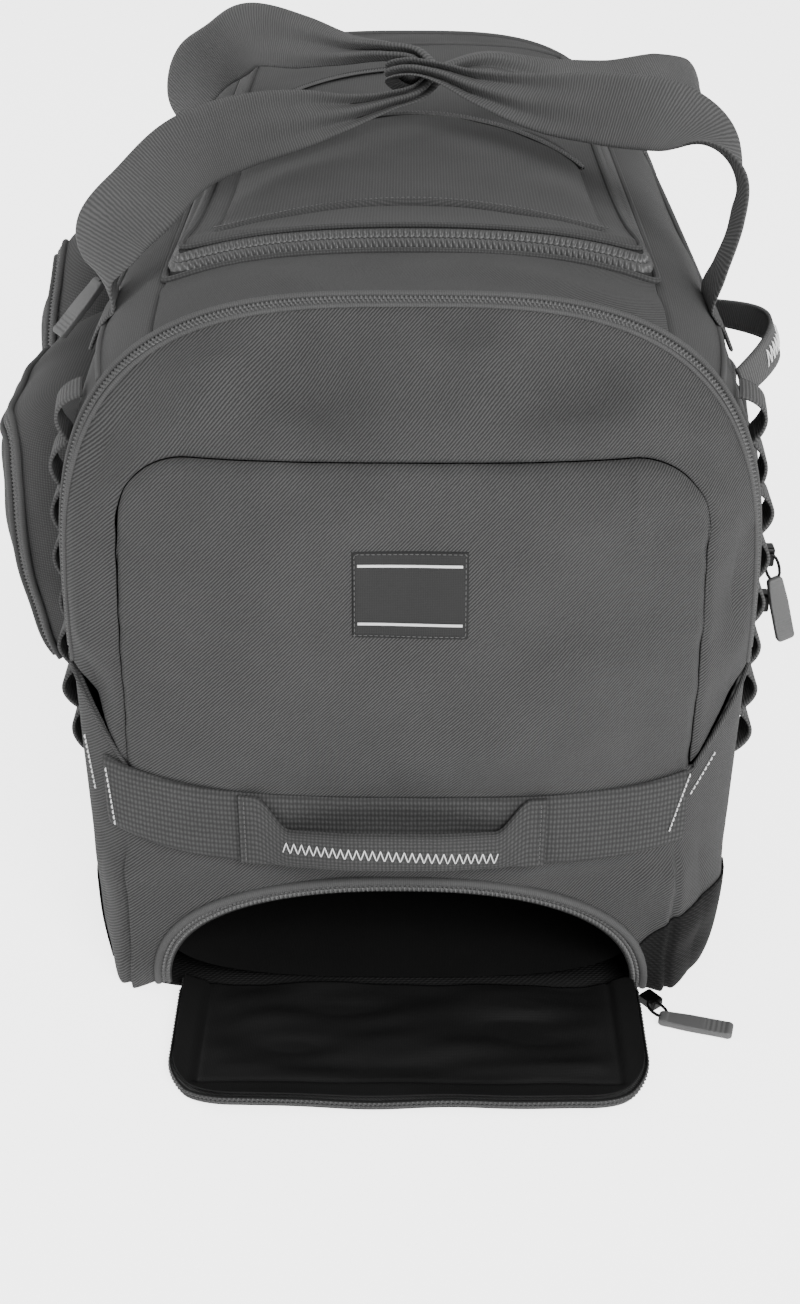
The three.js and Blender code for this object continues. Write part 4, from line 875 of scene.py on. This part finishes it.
# Low compartment: the open flap lies on the floor, grey cloth below and black coated lining above,
# edged with the other half of the zip; a sleeve of the same lining makes the room behind the mouth.
FLAP_FRONT, FLAP_HALF, FLAP_CORNER, FLAP_REAR = -530, 132, 36, -440
FLAP_MIDDLE = np.array([0, -450, 0])
BINDING_WIDTH, FLAP_ZIP_DROP = 16, 6
# Black tape and coil: as the grey ones, so the flap's edge stays dark with small lights on its teeth.
BLACK_TAPE = surface("black zip tape", "#151515", 0.8, [("X", 1.1)], 0.2, 0.15)
BLACK_COIL = surface("charcoal nylon zip coil", "#262626", 0.45)


def flap_place(u, v, inset):
    """Place on the flap from its rounded front edge back to the mouth."""
    half = FLAP_HALF - inset
    x = half * np.sin(pi / 2 * mix(1, -1, u))
    corner = np.maximum(0, np.abs(x) - half + FLAP_CORNER)
    front = FLAP_FRONT + inset + FLAP_CORNER - np.sqrt(np.maximum(FLAP_CORNER ** 2 - corner ** 2, 0))
    return x, mix(front, near_point(x, 0 * x)[..., 1] - 0.4, v)


def flap_height(x, y):
    """Height of the flap over the floor: a slightly curled, wavy edge and soft waves inside."""
    edge = np.maximum(np.minimum(FLAP_HALF - np.abs(x), y - FLAP_FRONT), 0)
    curl = 6.5 * np.exp(-edge / 14) * (0.8 + 0.2 * folds(x, y, 71, [70, 120]))
    return 1.8 + curl + 0.8 * clamp(edge / 30) * (1 + folds(x, y, 72, [40, 75]))


u, v = grid(120, 70)
x, y = flap_place(u, v, 0)
flap = joined(x, y, flap_height(x, y))[:, ::-1]
flap_piece = add_grid("flap_cloth", flap, TWILL, ["bat_flap"], uv=flap[..., :2])
x, y = flap_place(u, v, 1.5)
edge = np.minimum(FLAP_HALF - np.abs(x), y - FLAP_FRONT)
inside = clamp((edge - BINDING_WIDTH) / 12)
crease = np.clip(folds(x * 0.6, y * 1.4, 73, [22, 38, 60]), -1.2, 1.6) * inside
bound = 1.4 * clamp((BINDING_WIDTH - edge) / 4) - 1.2 * np.exp(-((edge - BINDING_WIDTH) / 1.6) ** 2)
lining = joined(x, y, flap_height(x, y) + 1.6 + 1.2 * crease + bound)
lining_piece = add_grid("flap_lining", lining, LINING, ["bat_flap_lining"], thick=0.6)
outline = np.linspace(0, 1, 300)
front_x, front_y = flap_place(outline, 0 * outline, 0)
front = joined(front_x, front_y)
way = np.concatenate([[(front_x[0], FLAP_REAR)], front, [(front_x[-1], FLAP_REAR)]])
way = even(np.column_stack([way, 0 * way[:, 0]]), 2)[0]
upper = np.column_stack([way[:, :2], flap_height(way[:, 0], way[:, 1]) + 1.4])
lower = np.column_stack([way[:, :2], upper[:, 2] - FLAP_ZIP_DROP])
flap_teeth = add_zip("flap_zip", upper, lower, 4.0, 2.6, 1.0, facing=way - FLAP_MIDDLE,
                     tape=BLACK_TAPE, teeth=BLACK_COIL)

SLEEVE_HALF, SLEEVE_HEIGHT, SLEEVE_FRONT, SLEEVE_REAR, SLEEVE_ROUNDNESS = 136, 81, -424, 336, 2 / 3
u, v = grid(100, 70)
angle, along = 2 * pi * u[:, :-1], v[:, :-1]
y = mix(SLEEVE_FRONT, SLEEVE_REAR, along)
sag = 1 - 0.12 * clamp(along * 6) * (np.sin(angle) > 0) * np.abs(np.sin(angle))
sag = sag + 0.05 * folds(angle * 60, y, 74, [60, 110]) * clamp(along * 12) * (np.sin(angle) > -0.3)
x = MOUTH_CENTRE + rounded(np.cos(angle), SLEEVE_ROUNDNESS) * SLEEVE_HALF * sag
z = 3.4 + SLEEVE_HEIGHT / 2 + rounded(np.sin(angle), SLEEVE_ROUNDNESS) * SLEEVE_HEIGHT / 2 * sag
sleeve = closed_ends(joined(x, y, np.maximum(z, 3.2)))[1:]
add_grid("sleeve_lining", sleeve, LINING, ["bat_sleeve"], wrap=True)

# Far end: plain-weave panel over a black moulded kick plate with a rubber wheel in each corner,
# turning on a steel pin. The plate is one moulding, so it keeps its shape with softened edges.
WHEEL_RADIUS, WHEEL_Y, WHEEL_X = 36, 404, 132
# Moulded plastic: black, slightly rough from the tool, with a broad soft highlight.
PLASTIC = surface("black moulded plastic", "#141414", 0.6, depth=0.8, uneven=0.12)
# Wheel rubber: black and dull, with a fine grain.
TYRE = surface("black wheel rubber", "#1a1a1a", 0.75, depth=0.5, uneven=0.12)
# Turned steel: bare grey metal with a clear highlight.
STEEL = surface("plain steel", "#8f8f8f", 0.35, depth=0.05, metal=1)
far_start = float(angle_at_height(BOOT_HEIGHT + 0.4, FAR_RIM))
u, v = grid(90, 50)
arch = body_point(mix(far_start, pi - far_start, u), 0 * u + 1)
base_x = half_width(BOOT_HEIGHT, FAR_RIM) * (1 - 2 * u)
x, z = mix(base_x, arch[..., 0], v), mix(BOOT_HEIGHT + 0.4, arch[..., 2], v)
far_out = 1.8 * folds(x, z, 81, [60, 110, 180]) * np.sin(pi * v) * np.sin(pi * u)
add_panel("far_end_cloth", far_point, x, z, far_out, PLAIN, "far_end_panel")
arch = body_point(np.linspace(far_start, pi - far_start, 300), 1)
add_pipe("far_end_piping", arch + np.array([0, 2.0, 0]), np.array([0, 1.0, 0]), 2.4, BINDING)


def add_copy(name, node_name, material, bevel, body="bag"):
    """A piece with a CAD node's own shape, merged and with its edges rounded by the bevel in mm."""
    shape = bmesh.new()
    shape.from_mesh(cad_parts[node_name].data)
    bmesh.ops.remove_doubles(shape, verts=shape.verts, dist=0.01 * MM)
    mesh = bpy.data.meshes.new(name)
    shape.to_mesh(mesh)
    shape.free()
    mesh.materials.append(material)
    mesh.shade_smooth()
    mesh.set_sharp_from_angle(angle=radians(35))
    piece = add_object(name, mesh)
    edges = piece.modifiers.new("edges", "BEVEL")
    edges.width = bevel * MM
    edges.segments = 3
    edges.limit_method = "ANGLE"
    edges.angle_limit = radians(50)
    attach(piece, body)
    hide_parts(node_name)
    return piece


add_copy("kick_plate_moulding", "kick_plate", PLASTIC, 1.0)
# Columns: radius, place across the wheel, from the bore to the groove round the tread
WHEEL_PROFILE = np.array([
    (4.7, -10), (8.4, -10), (9, -9.4), (10.6, -6.4), (11.4, -6), (26.4, -6), (27.2, -7),
    (27.8, -11.4), (29, -12), (34.6, -9.8), (35.8, -8.4), (36, -6), (36, -1.2), (35.2, 0),
])
radius, across = np.concatenate([WHEEL_PROFILE, WHEEL_PROFILE[-2::-1] * np.array([1, -1])]).T
turn = np.linspace(0, 2 * pi, 72, endpoint=False)[:, None]
for side, word in SIDES:
    wheel = joined(side * WHEEL_X + across, WHEEL_Y + radius * np.cos(turn),
                   WHEEL_RADIUS + radius * np.sin(turn))
    add_grid(f"wheel_{word}_tyre", np.moveaxis(wheel, 0, 1), TYRE, [f"wheel_{word}"],
             wrap=True, body=f"wheel_{word}")
    add_copy(f"axle_{word}_pin", f"axle_{word}", STEEL, 0.6)

# Side pockets: pillow-shaped plain-weave covers sewn to the side panels, fuller towards the top,
# each with an arched zip between two pipings round its face.
POCKET_BOTTOM, CLIMB_END, CLIMB_RUN, LOW_FULLNESS = 96, 72, 110, 0.75
COVER_HEIGHT, ZIP_SIDE, ZIP_TOP = 202, 0.1, 0.86
# Columns: name, side, near end, far end, top, depth, squareness of the fall to the seams, climb of
# the near part
POCKETS = [
    ("left_front_pocket", -1, -268, -92, 298, 66, 4, 0),
    ("left_rear_pocket", -1, -84, 262, 298, 84, 2.4, 44),
    ("right_pocket", 1, -318, 262, 296, 15, 4, 0),
]


def bulge(u, v, depth, square):
    """Depth of a pocket's cover over the panel: flat in the middle, rounded down to its seams."""
    fall = clamp(1 - np.abs(2 * u - 1) ** 5) * clamp(1 - np.abs(2 * v - 1) ** square)
    return depth * mix(LOW_FULLNESS, 1, v) * fall ** 0.6


for number, (name, side, first, last, high, depth, square, climb) in enumerate(POCKETS):
    def cover_point(u, v):
        """Point of this pocket's cover at shares of its span and height."""
        y = mix(first, last, u)
        z = mix(POCKET_BOTTOM, high + climb * smooth((CLIMB_END - y) / CLIMB_RUN), v)
        return mirrored(lift(side_point, z, y, 0.4 + CLOTH + bulge(u, v, depth, square)), side)

    def wrinkle(u, v):
        """Uneven height of this pocket's cover, none at its seams."""
        width = last - first
        edge = np.minimum(inward(u) * width, inward(v) * (high - POCKET_BOTTOM))
        waves = folds(u * width, v * COVER_HEIGHT, 90 + number, [40, 75, 120])
        return 2.4 * waves * clamp(edge / 30)

    u, v = grid(90, 64)
    u, v = ((1 - np.cos(pi * mix(0.01, 0.99, share))) / 2 for share in (u, v))
    cover = lift(cover_point, u, v, wrinkle(u, v), 0.0005)
    add_grid(name + "_cloth", cover, PLAIN, [name], thick=CLOTH)
    ramp, level = np.linspace(0, 1, 80), np.ones(80)
    way_u = np.concatenate([ZIP_SIDE * level, mix(ZIP_SIDE, 1 - ZIP_SIDE, ramp), (1 - ZIP_SIDE) * level])
    way_v = np.concatenate([mix(ZIP_SIDE, ZIP_TOP, ramp), ZIP_TOP * level, mix(ZIP_TOP, ZIP_SIDE, ramp)])
    way_u, way_v = softened(joined(way_u, way_v), 19).T
    line = lift(cover_point, way_u, way_v, 1.0 + wrinkle(way_u, way_v), 0.002)
    path, up = even(line, 4, outward(cover_point, way_u, way_v, 0.002))
    up = unit(up)
    sideways = unit(np.cross(up, np.gradient(path, axis=0)))
    add_zip(name + "_zip", path - sideways * 4, path + sideways * 4, 5, 2.6, 1.6)
    for offset, word in ((-6, "inner"), (6, "outer")):
        add_pipe(f"{name}_piping_{word}", path + sideways * offset + up * 0.4, up, 2.0, BINDING)

# Webbing: two carry handles sewn into the shoulder seams and hooked through each other over the
# lid, chains of small loops behind the near rim, and a loop grip on the right shoulder.
WEBBING_WIDTH, WEBBING_THICK, GATHERED_WIDTH, PLEAT_POINTS = 44, 2.4, 11, 23
FOOT_PLACES, FOOT_HEIGHTS = (-255.0, 110.0), np.array([334.0, 346.0, 356.0])
CURVE_STEPS = 14
# Columns: x, y, z of the centre line, turn of the width from level to upright and its swing from
# along the bag to across it in degrees, and how far the webbing is gathered into pleats, from 0 to 1
LEFT_HANDLE = [
    (-176, -255, 376, 5, 30, 0), (-168, -251, 396, 20, 74, 0), (-150, -236, 412, 42, 82, 0),
    (-131, -197, 424, 60, 40, 0), (-103, -150, 426, 64, 0, 0), (-66, -108, 424, 58, 0, 0.25),
    (-38, -82, 422, 58, 0, 0.75), (-14, -65, 424, 62, 0, 1), (4, -57, 428, 66, 0, 1),
    (13, -49, 437, 70, 0, 1), (3, -41, 448, 66, 0, 1), (-16, -36, 450, 60, 0, 1),
    (-44, -12, 446, 54, 0, 0.75), (-75, 18, 444, 66, 0, 0.25), (-112, 54, 441, 68, 45, 0),
    (-131, 78, 426, 41, 80, 0), (-153, 98, 408, 25, 70, 0), (-169, 109, 380, 4, 37, 0),
]
RIGHT_HANDLE = [
    (174, -255, 376, -8, 0, 0), (182, -249, 400, -18, 0, 0), (184, -238, 420, -10, 0, 0),
    (172, -215, 437, 12, 0, 0), (149, -190, 444, 38, 0, 0), (117, -155, 441, 54, 0, 0),
    (79, -117, 436, 60, 0, 0.25), (42, -86, 438, 62, 0, 0.75), (16, -68, 443, 62, 0, 1),
    (-2, -60, 444, 60, 0, 1), (-13, -51, 439, 60, 0, 1), (-3, -42, 430, 60, 0, 1),
    (16, -34, 434, 58, 0, 1), (50, -14, 436, 54, 0, 0.75), (98, 6, 420, 50, 0, 0.25),
    (138, 32, 410, 44, 0, 0), (180, 62, 409, 36, 0, 0), (206, 90, 399, 18, 0, 0),
    (210, 105, 380, 4, 0, 0), (192, 110, 364, 0, 0, 0),
]


def curve_through(points, steps):
    """Smooth curve through points: cubic pieces whose knots are spaced by the square root of the
    distances between the points."""
    points = np.asarray(points, float)
    ends = np.concatenate([[2 * points[0] - points[1]], points, [2 * points[-1] - points[-2]]])
    p0, p1, p2, p3 = (ends[k:len(ends) - 3 + k][:, None] for k in range(4))
    spans = ((p0, p1), (p1, p2), (p2, p3))
    d0, d1, d2 = (np.sqrt(np.linalg.norm(b - a, axis=-1, keepdims=True)) for a, b in spans)
    slope_1 = ((p1 - p0) / d0 - (p2 - p0) / (d0 + d1) + (p2 - p1) / d1) * d1
    slope_2 = ((p2 - p1) / d1 - (p3 - p1) / (d1 + d2) + (p3 - p2) / d2) * d1
    t = np.linspace(0, 1, steps, endpoint=False)[None, :, None]
    curve = cubic(p1, slope_1, p2, slope_2, t)
    return np.concatenate([curve.reshape(-1, points.shape[1]), points[-1:]])


def gathered_section(gather, width, thick):
    """Section of webbing drawn together: narrower by the gather and folded into even pleats, closed
    round its thickness."""
    share = np.linspace(-0.5, 0.5, PLEAT_POINTS)
    gather = gather[:, None]
    line = joined(share * mix(width, GATHERED_WIDTH, gather), 4 * gather * np.cos(4 * pi * share))
    slope = unit(np.gradient(line, axis=1))
    side = joined(-slope[..., 1], slope[..., 0]) * thick / 2 * mix(1, 0.7, gather)[..., None]
    side = side * np.sqrt(np.clip(1 - np.abs(2 * share) ** 14, 0.05, 1))[:, None]
    return np.concatenate([line + side, (line - side)[:, ::-1]], axis=1)


for name, side, rows in (("carry_handle_left", -1, LEFT_HANDLE), ("carry_handle_right", 1, RIGHT_HANDLE)):
    feet = []
    for foot in FOOT_PLACES:
        points = mirrored(lift(side_point, FOOT_HEIGHTS, np.full(3, foot), 1.2), side)
        feet.append(np.column_stack([points, np.zeros((3, 3))]))
    rows = np.concatenate([feet[0], np.array(rows, float), feet[1][::-1]])
    path = curve_through(rows[:, :3], CURVE_STEPS)
    place = np.linspace(0, len(rows) - 1, len(path))
    bends = [np.interp(place, np.arange(len(rows)), column) for column in rows[:, 3:].T]
    turn, swing, gather = softened(np.stack(bends, -1), CURVE_STEPS + 1).T
    turn, swing = np.radians(turn), np.radians(swing)
    tangent = unit(np.gradient(path, axis=0))
    across = joined(-np.cos(turn) * np.sin(swing), np.cos(turn) * np.cos(swing), np.sin(turn))
    across = unit(across - tangent * np.sum(across * tangent, -1, keepdims=True))
    out = np.cross(tangent, across)
    out *= np.sign(out[len(out) // 3] @ np.array([0, -0.3, 1]))
    section = gathered_section(gather, WEBBING_WIDTH, WEBBING_THICK)
    strap = path[:, None] + across[:, None] * section[..., 0:1] + out[:, None] * section[..., 1:2]
    length = np.pad(run_length(path), 1, mode="edge")[:, None]
    width = np.linspace(0, WEBBING_WIDTH, PLEAT_POINTS)
    cloth = joined(np.concatenate([width, width[::-1]]), length)
    add_grid(name + "_web", closed_ends(strap), WEB, [name], cloth, wrap=True)

CHAIN_LOW, CHAIN_HIGH, CHAIN_LOOPS, CHAIN_WIDTH, CHAIN_STAND, CHAIN_INSET = 118, 336, 8, 25, 10.4, 12
for side, word in SIDES:
    u, v = grid(7, CHAIN_LOOPS * 28)
    z = mix(CHAIN_LOW, CHAIN_HIGH, v)
    y = near_rim(z) + RIM_SETBACK + CHAIN_INSET + CHAIN_WIDTH * u
    slack = np.random.default_rng(95 + side).uniform(0.5, 1, CHAIN_LOOPS + 1)[(CHAIN_LOOPS * v).astype(int)]
    loop_out = 2.4 + CHAIN_STAND * slack * np.abs(np.sin(pi * CHAIN_LOOPS * v)) ** 0.8
    chain = mirrored(lift(side_point, z, y, loop_out), side)
    add_grid(f"loop_chain_{word}_web", chain, WEB, [f"loop_chain_{word}"], thick=1.8)

GRIP_FROM, GRIP_TO, GRIP_LOW, GRIP_HIGH, GRIP_LOOP = -316, -200, 322, 338, 26
u, v = grid(9, 90)
y, z = mix(GRIP_FROM, GRIP_TO, v), mix(GRIP_LOW, GRIP_HIGH, u)
loop = lift(side_point, z, y, 2.8 + GRIP_LOOP * np.sin(pi * v))
add_grid("side_grip_web", loop, WEB, ["side_grip"], thick=2.2)
count = 16
v = np.linspace(0.2, 0.5, count)
y = mix(GRIP_FROM, GRIP_TO, v)
z = (GRIP_LOW + GRIP_HIGH) / 2 + np.where(np.arange(count) % 2, 4, -4.0)
zigzag = lift(side_point, z, y, 3.2 + GRIP_LOOP * np.sin(pi * v))
up = outward(side_point, z, y)[:-1]
add_threads("side_grip_zigzag", zigzag[:-1], zigzag[1:], up, 0.5, WHITE)

# Zip hardware: ribbed grey rubber pulls, each hung on a black wire bail from a black slider, all
# moulded or cast in one piece.
PULL_LENGTH, PULL_WIDTH, PULL_THICK, PULL_ROUNDNESS = 42, 11, 5, 0.35
RIBS_FROM, RIBS_TO, RIB_PITCH = 0.62, 0.93, 0.07
# Moulded rubber: mid grey, half matt, so the ribs show by soft highlights.
RUBBER = surface("grey moulded rubber", "#505050", 0.55, depth=0.2, uneven=0.06)
# Enamelled metal: glossy black with small sharp highlights.
METAL = surface("black enamelled metal", "#121212", 0.3, depth=0.05, metal=0.7)


def add_pull(name, centre, along, face, node_name):
    """Moulded tab: a rounded bar, narrow at the bail, with a lip round its face and ribs at its end."""
    along, face = unit(np.asarray(along, float)), np.asarray(face, float)
    face = unit(face - along * (face @ along))
    across = np.cross(along, face)
    u, v = grid(33, 64)
    turn, share = 2 * pi * u[:, :-1], v[:, :-1]
    end = clamp(inward(share) / 0.05) ** 0.5
    half = PULL_WIDTH / 2 * (0.8 + 0.2 * clamp(share / 0.4)) * mix(0.75, 1, end)
    wide = rounded(np.cos(turn), PULL_ROUNDNESS) * half
    deep = rounded(np.sin(turn), PULL_ROUNDNESS) * PULL_THICK / 2 * mix(0.55, 1, end)
    wave = 0.5 + 0.5 * np.cos(2 * pi * (share - RIBS_FROM) / RIB_PITCH)
    ribs = np.where((share > RIBS_FROM) & (share < RIBS_TO), 0.5 * wave, 0)
    inside = clamp((half - np.abs(wide)) / 1.2)
    deep = deep - np.sign(deep) * inside * (ribs + 0.4 * (share > 0.12) * (share < 0.9))
    rings = np.asarray(centre) + along * ((share - 0.5) * PULL_LENGTH)[..., None]
    rings = rings + across * wide[..., None] + face * deep[..., None]
    return add_grid(name, closed_ends(rings), RUBBER, [node_name], wrap=True)


def add_bail(name, start, end, side):
    """Wire loop from a slider to its pull."""
    start, end, side = (np.asarray(value, float) for value in (start, end, side))
    turn = np.linspace(0, 2 * pi, 40)
    half = (end - start) / 2
    path = (start + end) / 2 + half * np.cos(turn)[:, None] + unit(side) * 4 * np.sin(turn)[:, None]
    return add_pipe(name, path, np.cross(unit(half), unit(side)), 0.9, METAL)


add_pull("bat_pull", (163, -464, 3.4), (0.963, -0.267, 0), (0, 0, 1), "bat_zip_pull")
add_copy("bat_slider", "bat_zip_slider", METAL, 1.4)
add_bail("bat_bail", (138, -447, 5.4), (147, -459, 4.6), (0.8, 0.6, 0))
add_pull("side_pull", (215, -324, 196), (0.26, 0, -0.966), (0.3, -0.95, 0), "side_zip_pull")
add_copy("side_slider_upper", "side_zip_slider_upper", METAL, 1.4)
add_copy("side_slider_lower", "side_zip_slider_lower", METAL, 1.4)
add_bail("side_bail", (207, -319, 229), (210, -324, 214), (1, 0, 0))
add_pull("left_pull", (-199, -204, 335), (-0.62, -0.38, -0.69), (-0.35, -0.5, 0.8), "shoulder_pull")
add_bail("left_bail", (-178, -192, 358), (-188, -197, 347), (0.3, 0.9, 0.2))

# Stage: a pale floor, soft light from three square lamps and a white sky, and the camera that was
# fitted to the photo.
bpy.ops.mesh.primitive_plane_add(size=30)
floor = bpy.context.object
floor.name = "floor"
# Painted studio floor: pale and even. It glows more to the camera than to the bag, so it looks white
# and lights the bag only softly.
pale = surface("pale floor", "#f4f4f4", 0.9, uneven=0)
seen = node(pale.node_tree, "ShaderNodeLightPath", output="Is Camera Ray")
glow = node(pale.node_tree, "ShaderNodeMapRange", {0: seen, 3: 1.0, 4: 3.1})
paint = pale.node_tree.nodes["Principled BSDF"]
pale.node_tree.links.new(glow, paint.inputs["Emission Strength"])
paint.inputs["Emission Color"].default_value = (1, 1, 1, 1)
floor.data.materials.append(pale)
floor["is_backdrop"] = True


def add_light(name, place, aim, size, power):
    """Square soft light at a place in metres, turned to its aim."""
    light = bpy.data.lights.new(name, "AREA")
    light.shape = "SQUARE"
    light.size = size
    light.energy = power
    lamp = add_object(name, light)
    direction = np.asarray(aim, float) - np.asarray(place, float)
    lamp.location = place
    tilt = np.arccos(-direction[2] / np.linalg.norm(direction))
    lamp.rotation_euler = (tilt, 0, np.arctan2(direction[1], direction[0]) - pi / 2)
    return lamp


add_light("key light", (1.1, -2.6, 2.0), (0, -0.2, 0.2), 1.6, 108)
add_light("fill light", (-2.4, 0.2, 1.8), (0, 0, 0.3), 1.6, 34)
add_light("rear light", (0.2, 2.4, 2.6), (0, 0.2, 0.3), 2.4, 10)
world = bpy.data.worlds.new("studio")
bpy.context.scene.world = world
world.use_nodes = True
backdrop = world.node_tree.nodes["Background"].inputs
backdrop["Color"].default_value = (1, 1, 1, 1)
backdrop["Strength"].default_value = 0.68

camera_data = bpy.data.cameras.new("camera")
camera_data.lens = 50
camera_data.sensor_width = 36
camera = add_object("camera", camera_data)
camera.location = (-0.0004, -1.2474, 0.7041)
camera.rotation_euler = (radians(90 - 30.23), 0, radians(0.33))
bpy.context.scene.camera = camera

low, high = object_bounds()
